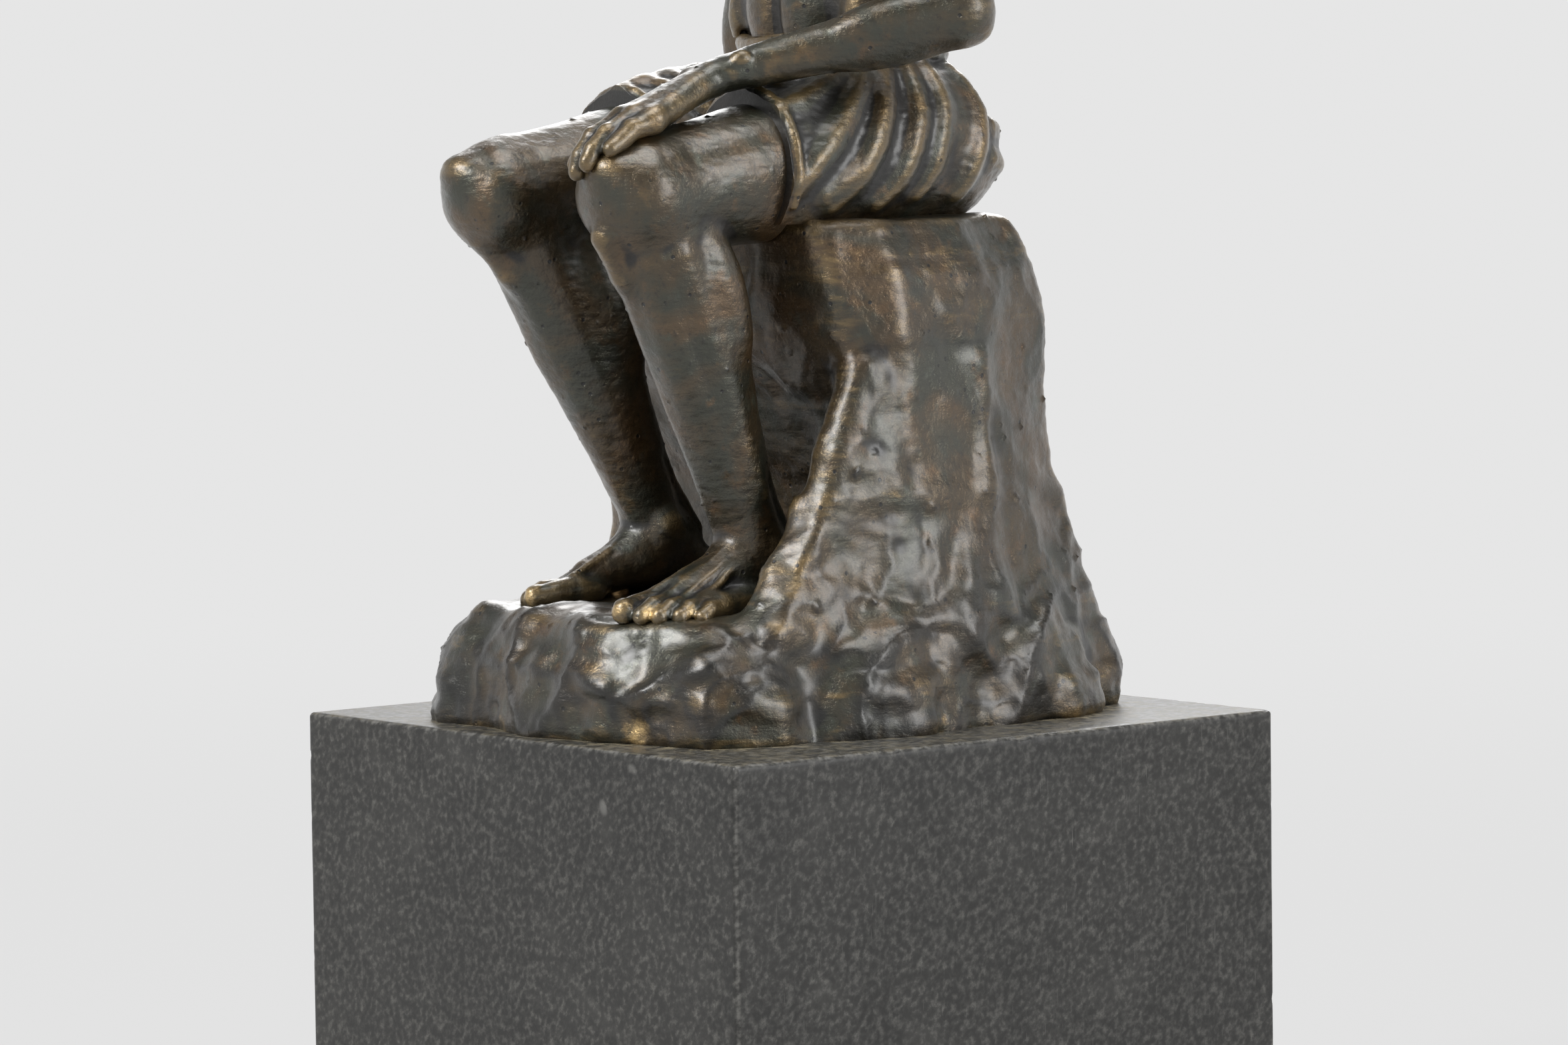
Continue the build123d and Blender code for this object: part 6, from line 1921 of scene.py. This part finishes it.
@dataclass
class Studio:
    """Camera, lamps, pale floor and background."""

    azimuth: float = 50.68
    elevation: float = 4.16
    roll: float = -0.74
    distance: float = 0.872
    target: Triple = (0.0, 0.0, 0.1095)
    focal_pixels: float = 9000.0
    image: tuple[int, int] = (2353, 1568)
    sensor: float = 36.0
    floor_radius: float = 4.0
    floor_sides: int = 96
    background: float = 0.79
    dome: float = 0.26
    dome_rise: tuple[float, float] = (0.16, 0.55)
    fill: float = 0.34
    floor_tone: float = 0.42
    floor_shares: tuple[float, float] = (0.74, 1.0)
    floor_reach: tuple[float, float] = (0.25, 1.1)
    lamps: Sequence[Lamp] = (
        Lamp("key_box", (-0.10, -1.15, 1.10), (0.6, 0.5), 22.0),
        Lamp("right_box", (1.30, 0.55, 0.60), (0.5, 0.9), 12.0),
        Lamp("top_box", (0.15, 0.15, 1.45), (0.8, 0.8), 12.0),
        Lamp("back_box", (-0.9, 0.9, 0.8), (0.7, 0.7), 7.0),
    )

    def build(self) -> None:
        """Set everything up."""
        self.camera()
        for lamp in self.lamps:
            lamp.build(self.target)
        self.surroundings()
        self.floor()
        settings = bpy.context.scene.view_settings
        settings.view_transform = "Standard"

    def camera(self) -> None:
        """Camera that sees the statue as the photograph does."""
        turn, rise, roll = radians(self.azimuth), radians(self.elevation), radians(self.roll)
        back = Vector((sin(turn) * cos(rise), -cos(turn) * cos(rise), sin(rise)))
        right = Vector((0, 0, 1)).cross(back).normalized()
        up = back.cross(right)
        right, up = right * cos(roll) + up * sin(roll), up * cos(roll) - right * sin(roll)
        lens = bpy.data.cameras.new("camera")
        lens.sensor_width = self.sensor
        lens.lens = self.sensor * self.focal_pixels / self.image[0]
        lens.clip_start = 0.05
        lens.clip_end = 50.0
        camera = bpy.data.objects.new("camera", lens)
        matrix = Matrix((right, up, back)).transposed().to_4x4()
        matrix.translation = Vector(self.target) + back * self.distance
        camera.matrix_world = matrix
        bpy.context.scene.collection.objects.link(camera)
        bpy.context.scene.camera = camera

    def seen(self, nodes: Nodes) -> Socket:
        """One for rays that show the background: from the camera, off metal or through glass."""
        path = nodes.put("ShaderNodeLightPath").outputs
        shown = nodes.math("MAXIMUM", path["Is Camera Ray"], path["Is Glossy Ray"])
        return nodes.math("MAXIMUM", shown, path["Is Transmission Ray"])

    def surroundings(self) -> None:
        """Pale background that dims towards the ceiling, less bright as a lamp than as a view."""
        world = bpy.data.worlds.new("surroundings")
        bpy.context.scene.world = world
        world.use_nodes = True
        nodes = Nodes(world.node_tree)
        place = nodes.place()
        rise = nodes.put("ShaderNodeSeparateXYZ", {0: place}).outputs["Z"]
        tone = nodes.minus(nodes.range(rise, *self.dome_rise, self.background, self.dome), self.fill)
        strength = nodes.plus(nodes.times(self.seen(nodes), tone), self.fill)
        light = nodes.put("ShaderNodeBackground", {"Color": (1, 1, 1, 1), "Strength": strength})
        nodes.put("ShaderNodeOutputWorld", {"Surface": light.outputs[0]})

    def floor(self) -> None:
        """Pale round floor that keeps the statue's shadow."""
        finish, nodes = new_finish("pale_floor")
        tone = (self.floor_tone,) * 3 + (1,)
        matt = nodes.put("ShaderNodeBsdfDiffuse", {"Color": tone})
        glow = nodes.put("ShaderNodeEmission", {"Color": (1, 1, 1, 1), "Strength": self.background})
        place = nodes.place()
        away = nodes.put("ShaderNodeVectorMath", {0: place}, operation="LENGTH").outputs["Value"]
        share = nodes.times(self.seen(nodes), nodes.range(away, *self.floor_reach, *self.floor_shares))
        mixed = nodes.put("ShaderNodeMixShader", {0: share, 1: matt.outputs[0], 2: glow.outputs[0]})
        nodes.put("ShaderNodeOutputMaterial", {"Surface": mixed.outputs[0]})
        work = bmesh.new()
        bmesh.ops.create_circle(work, cap_ends=True, segments=self.floor_sides, radius=self.floor_radius)
        mesh = bpy.data.meshes.new("floor")
        work.to_mesh(mesh)
        work.free()
        mesh.materials.append(finish)
        floor = bpy.data.objects.new("floor", mesh)
        bpy.context.scene.collection.objects.link(floor)


@dataclass
class Statue:
    """The whole statue: stone, rock and figure."""

    bones: Skeleton
    rock_skin: Skin = Skin(
        lump_size=10.0, lump_height=0.7, stroke_size=3.2, stroke_height=0.4, pit_size=2.0, pit_depth=0.5,
        seed=7.0,
    )
    rock_pitch: float = 0.6
    trunk_pitch: float = 0.36
    limb_pitch: float = 0.3
    head_pitch: float = 0.24
    cloth_skin: Skin = Skin(lump_size=6.0, lump_height=0.5, stroke_height=0.3, pit_depth=0.2)
    flesh_skin: Skin = Skin(lump_height=0.45, stroke_height=0.2, pit_depth=0.2)
    head_skin: Skin = Skin(lump_height=0.25, stroke_size=1.6, stroke_height=0.1, pit_depth=0.1)
    hidden: dict[Slot, tuple[str, ...]] = field(default_factory=lambda: {
        Slot.FELT: ("felt_pad",),
        Slot.RAW_BRONZE: (
            "fixing_bar", "neck_dowel", "shoulder_dowels", "waist_dowels", "seat_dowels", "thigh_dowels",
            "foot_dowels",
        ),
        Slot.STEEL: ("fixing_screws", "plain_washers", "spring_washers"),
        Slot.BRONZE: ("core_plugs",),
    })

    def build(self) -> None:
        """Model, pour and place every section, and dress the CAD pieces that stay."""
        bronze, stone = BronzeFinish().material(), StoneFinish().material()
        recast = RecastTree()
        rock = RockForm(self.bones)
        Plinth().build(ArrisTree(), stone, rock)
        for casting in self.castings(rock):
            casting.build(recast, bronze)
        finishes = {
            Slot.FELT: FELT.material(), Slot.RAW_BRONZE: RAW_BRONZE.material(),
            Slot.STEEL: STEEL.material(), Slot.BRONZE: bronze
        }
        for slot, nodes in self.hidden.items():
            for node in nodes:
                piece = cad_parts[node]
                piece.data.materials.clear()
                piece.data.materials.append(finishes[slot])

    def castings(self, rock: RockForm) -> list[Casting]:
        """Every bronze section with its form, box, joint planes and bright places."""
        bones = self.bones
        legs = {side: LegForm(bones, side) for side in Side}
        body = BodyForm(bones)
        arms = {Side.LEFT: LeftArmForm(bones, legs[Side.LEFT]), Side.RIGHT: RightArmForm(bones)}
        plane, waist, neck, hem = bones.shoulder_plane, bones.waist, bones.neck, bones.hem
        rock_low = (-49, -48, bones.plinth_top - 1.5)
        sections: list[Casting] = [
            RockCasting(
                bones, RockFaces(), CragTree(), form=rock, node="rock_casting", pitch=self.rock_pitch,
                low=rock_low, high=(42, 49, bones.seat + 4), skin=self.rock_skin,
                cuts=(Cut((0, 0, bones.plinth_top), -Z_AXIS),),
                rubs=(
                    Rub((-8, -46, 84), 4.5), Rub((20, -44, 83.5), 4.5), Rub((-5, -46, 90), 3, 0.7),
                    Rub((36, -4, 83), 4, 0.6),
                ),
            ),
            FormCasting(
                WrapForm(bones), node="wrap_casting", pitch=self.trunk_pitch, low=(-29, -22, bones.seat - 2),
                high=(29, 32, waist + 5), skin=self.cloth_skin,
                cuts=(Cut((0, 0, bones.seat - 0.6), -Z_AXIS), Cut((0, hem - 0.6, 0), -Y_AXIS)),
            ),
            JoinedCasting(
                body, (arms[Side.LEFT], arms[Side.RIGHT]), node="torso_casting", pitch=self.trunk_pitch,
                low=(-21, -14, waist - 2), high=(21, 30, neck + 1.5), skin=self.flesh_skin,
                cuts=(
                    Cut((0, 0, waist), -Z_AXIS), Cut((0, 0, neck), Z_AXIS), Cut((plane, 0, 0), X_AXIS),
                    Cut((-plane, 0, 0), -X_AXIS),
                ),
            ),
            FormCasting(
                body, node="head_casting", pitch=self.head_pitch, low=(-14, -20, neck - 1.5),
                high=(14, 19, neck + 36), skin=self.head_skin,
                cuts=(Cut((0, 0, neck), -Z_AXIS),),
            ),
        ]
        for side in Side:
            name = side.name.lower()
            knee, ankle, foot = bones.knee_at(side), bones.ankle_at(side), bones.foot_frame(side)
            far = max(-knee[1], -ankle[1] + 27)
            reach = sorted((side.value * 3, side.value * 29))
            sections.append(FormCasting(
                legs[side], node=f"{name}_leg_casting", pitch=self.limb_pitch,
                low=(reach[0], -far - 13, bones.ledge - 2),
                high=(reach[1], max(hem + 4, ankle[1] + 12), bones.seat + 20), skin=self.flesh_skin,
                cuts=(Cut((0, hem + 2, 0), Y_AXIS, bones.seat - 20), Cut((0, 0, bones.ledge - 0.4), -Z_AXIS)),
                rubs=(
                    Rub(foot.at((-4, 24, 2.5)), 4.2), Rub(foot.at((0, 22.5, 2)), 3.4, 0.9),
                    Rub(foot.at((4.4, 18.5, 2)), 3.4, 0.8), Rub(foot.at((0, -8, 4)), 4, 0.4),
                ),
            ))
            wrist = bones.wrist_at(side)
            if side is Side.LEFT:
                low, high = (plane - 16, knee[1] - 14, bones.seat - 4), (plane + 24, 26, neck)
            else:
                low, high = (-plane - 26, -6, bones.seat - 2), (-plane + 9, 42, neck)
            sections.append(JoinedCasting(
                arms[side], (body,), node=f"{name}_arm_casting", pitch=self.limb_pitch, low=low, high=high,
                skin=self.flesh_skin,
                cuts=(Cut((side.value * plane, 0, 0), -side.value * X_AXIS, JoinedCasting.ARMPIT[0] + 1),),
                rubs=(Rub(wrist + np.array([0, -16, -8]), 7, 0.45),),
            ))
        return sections


def write_sizes() -> None:
    """Bring the view layer up to date; no sizes are written."""
    bpy.context.view_layer.update()


def main() -> None:
    """Build the statue and the studio round it."""
    bpy.context.view_layer.update()
    Statue(Skeleton.from_frame()).build()
    Studio().build()
    write_sizes()


if __name__ == "__main__":
    main()
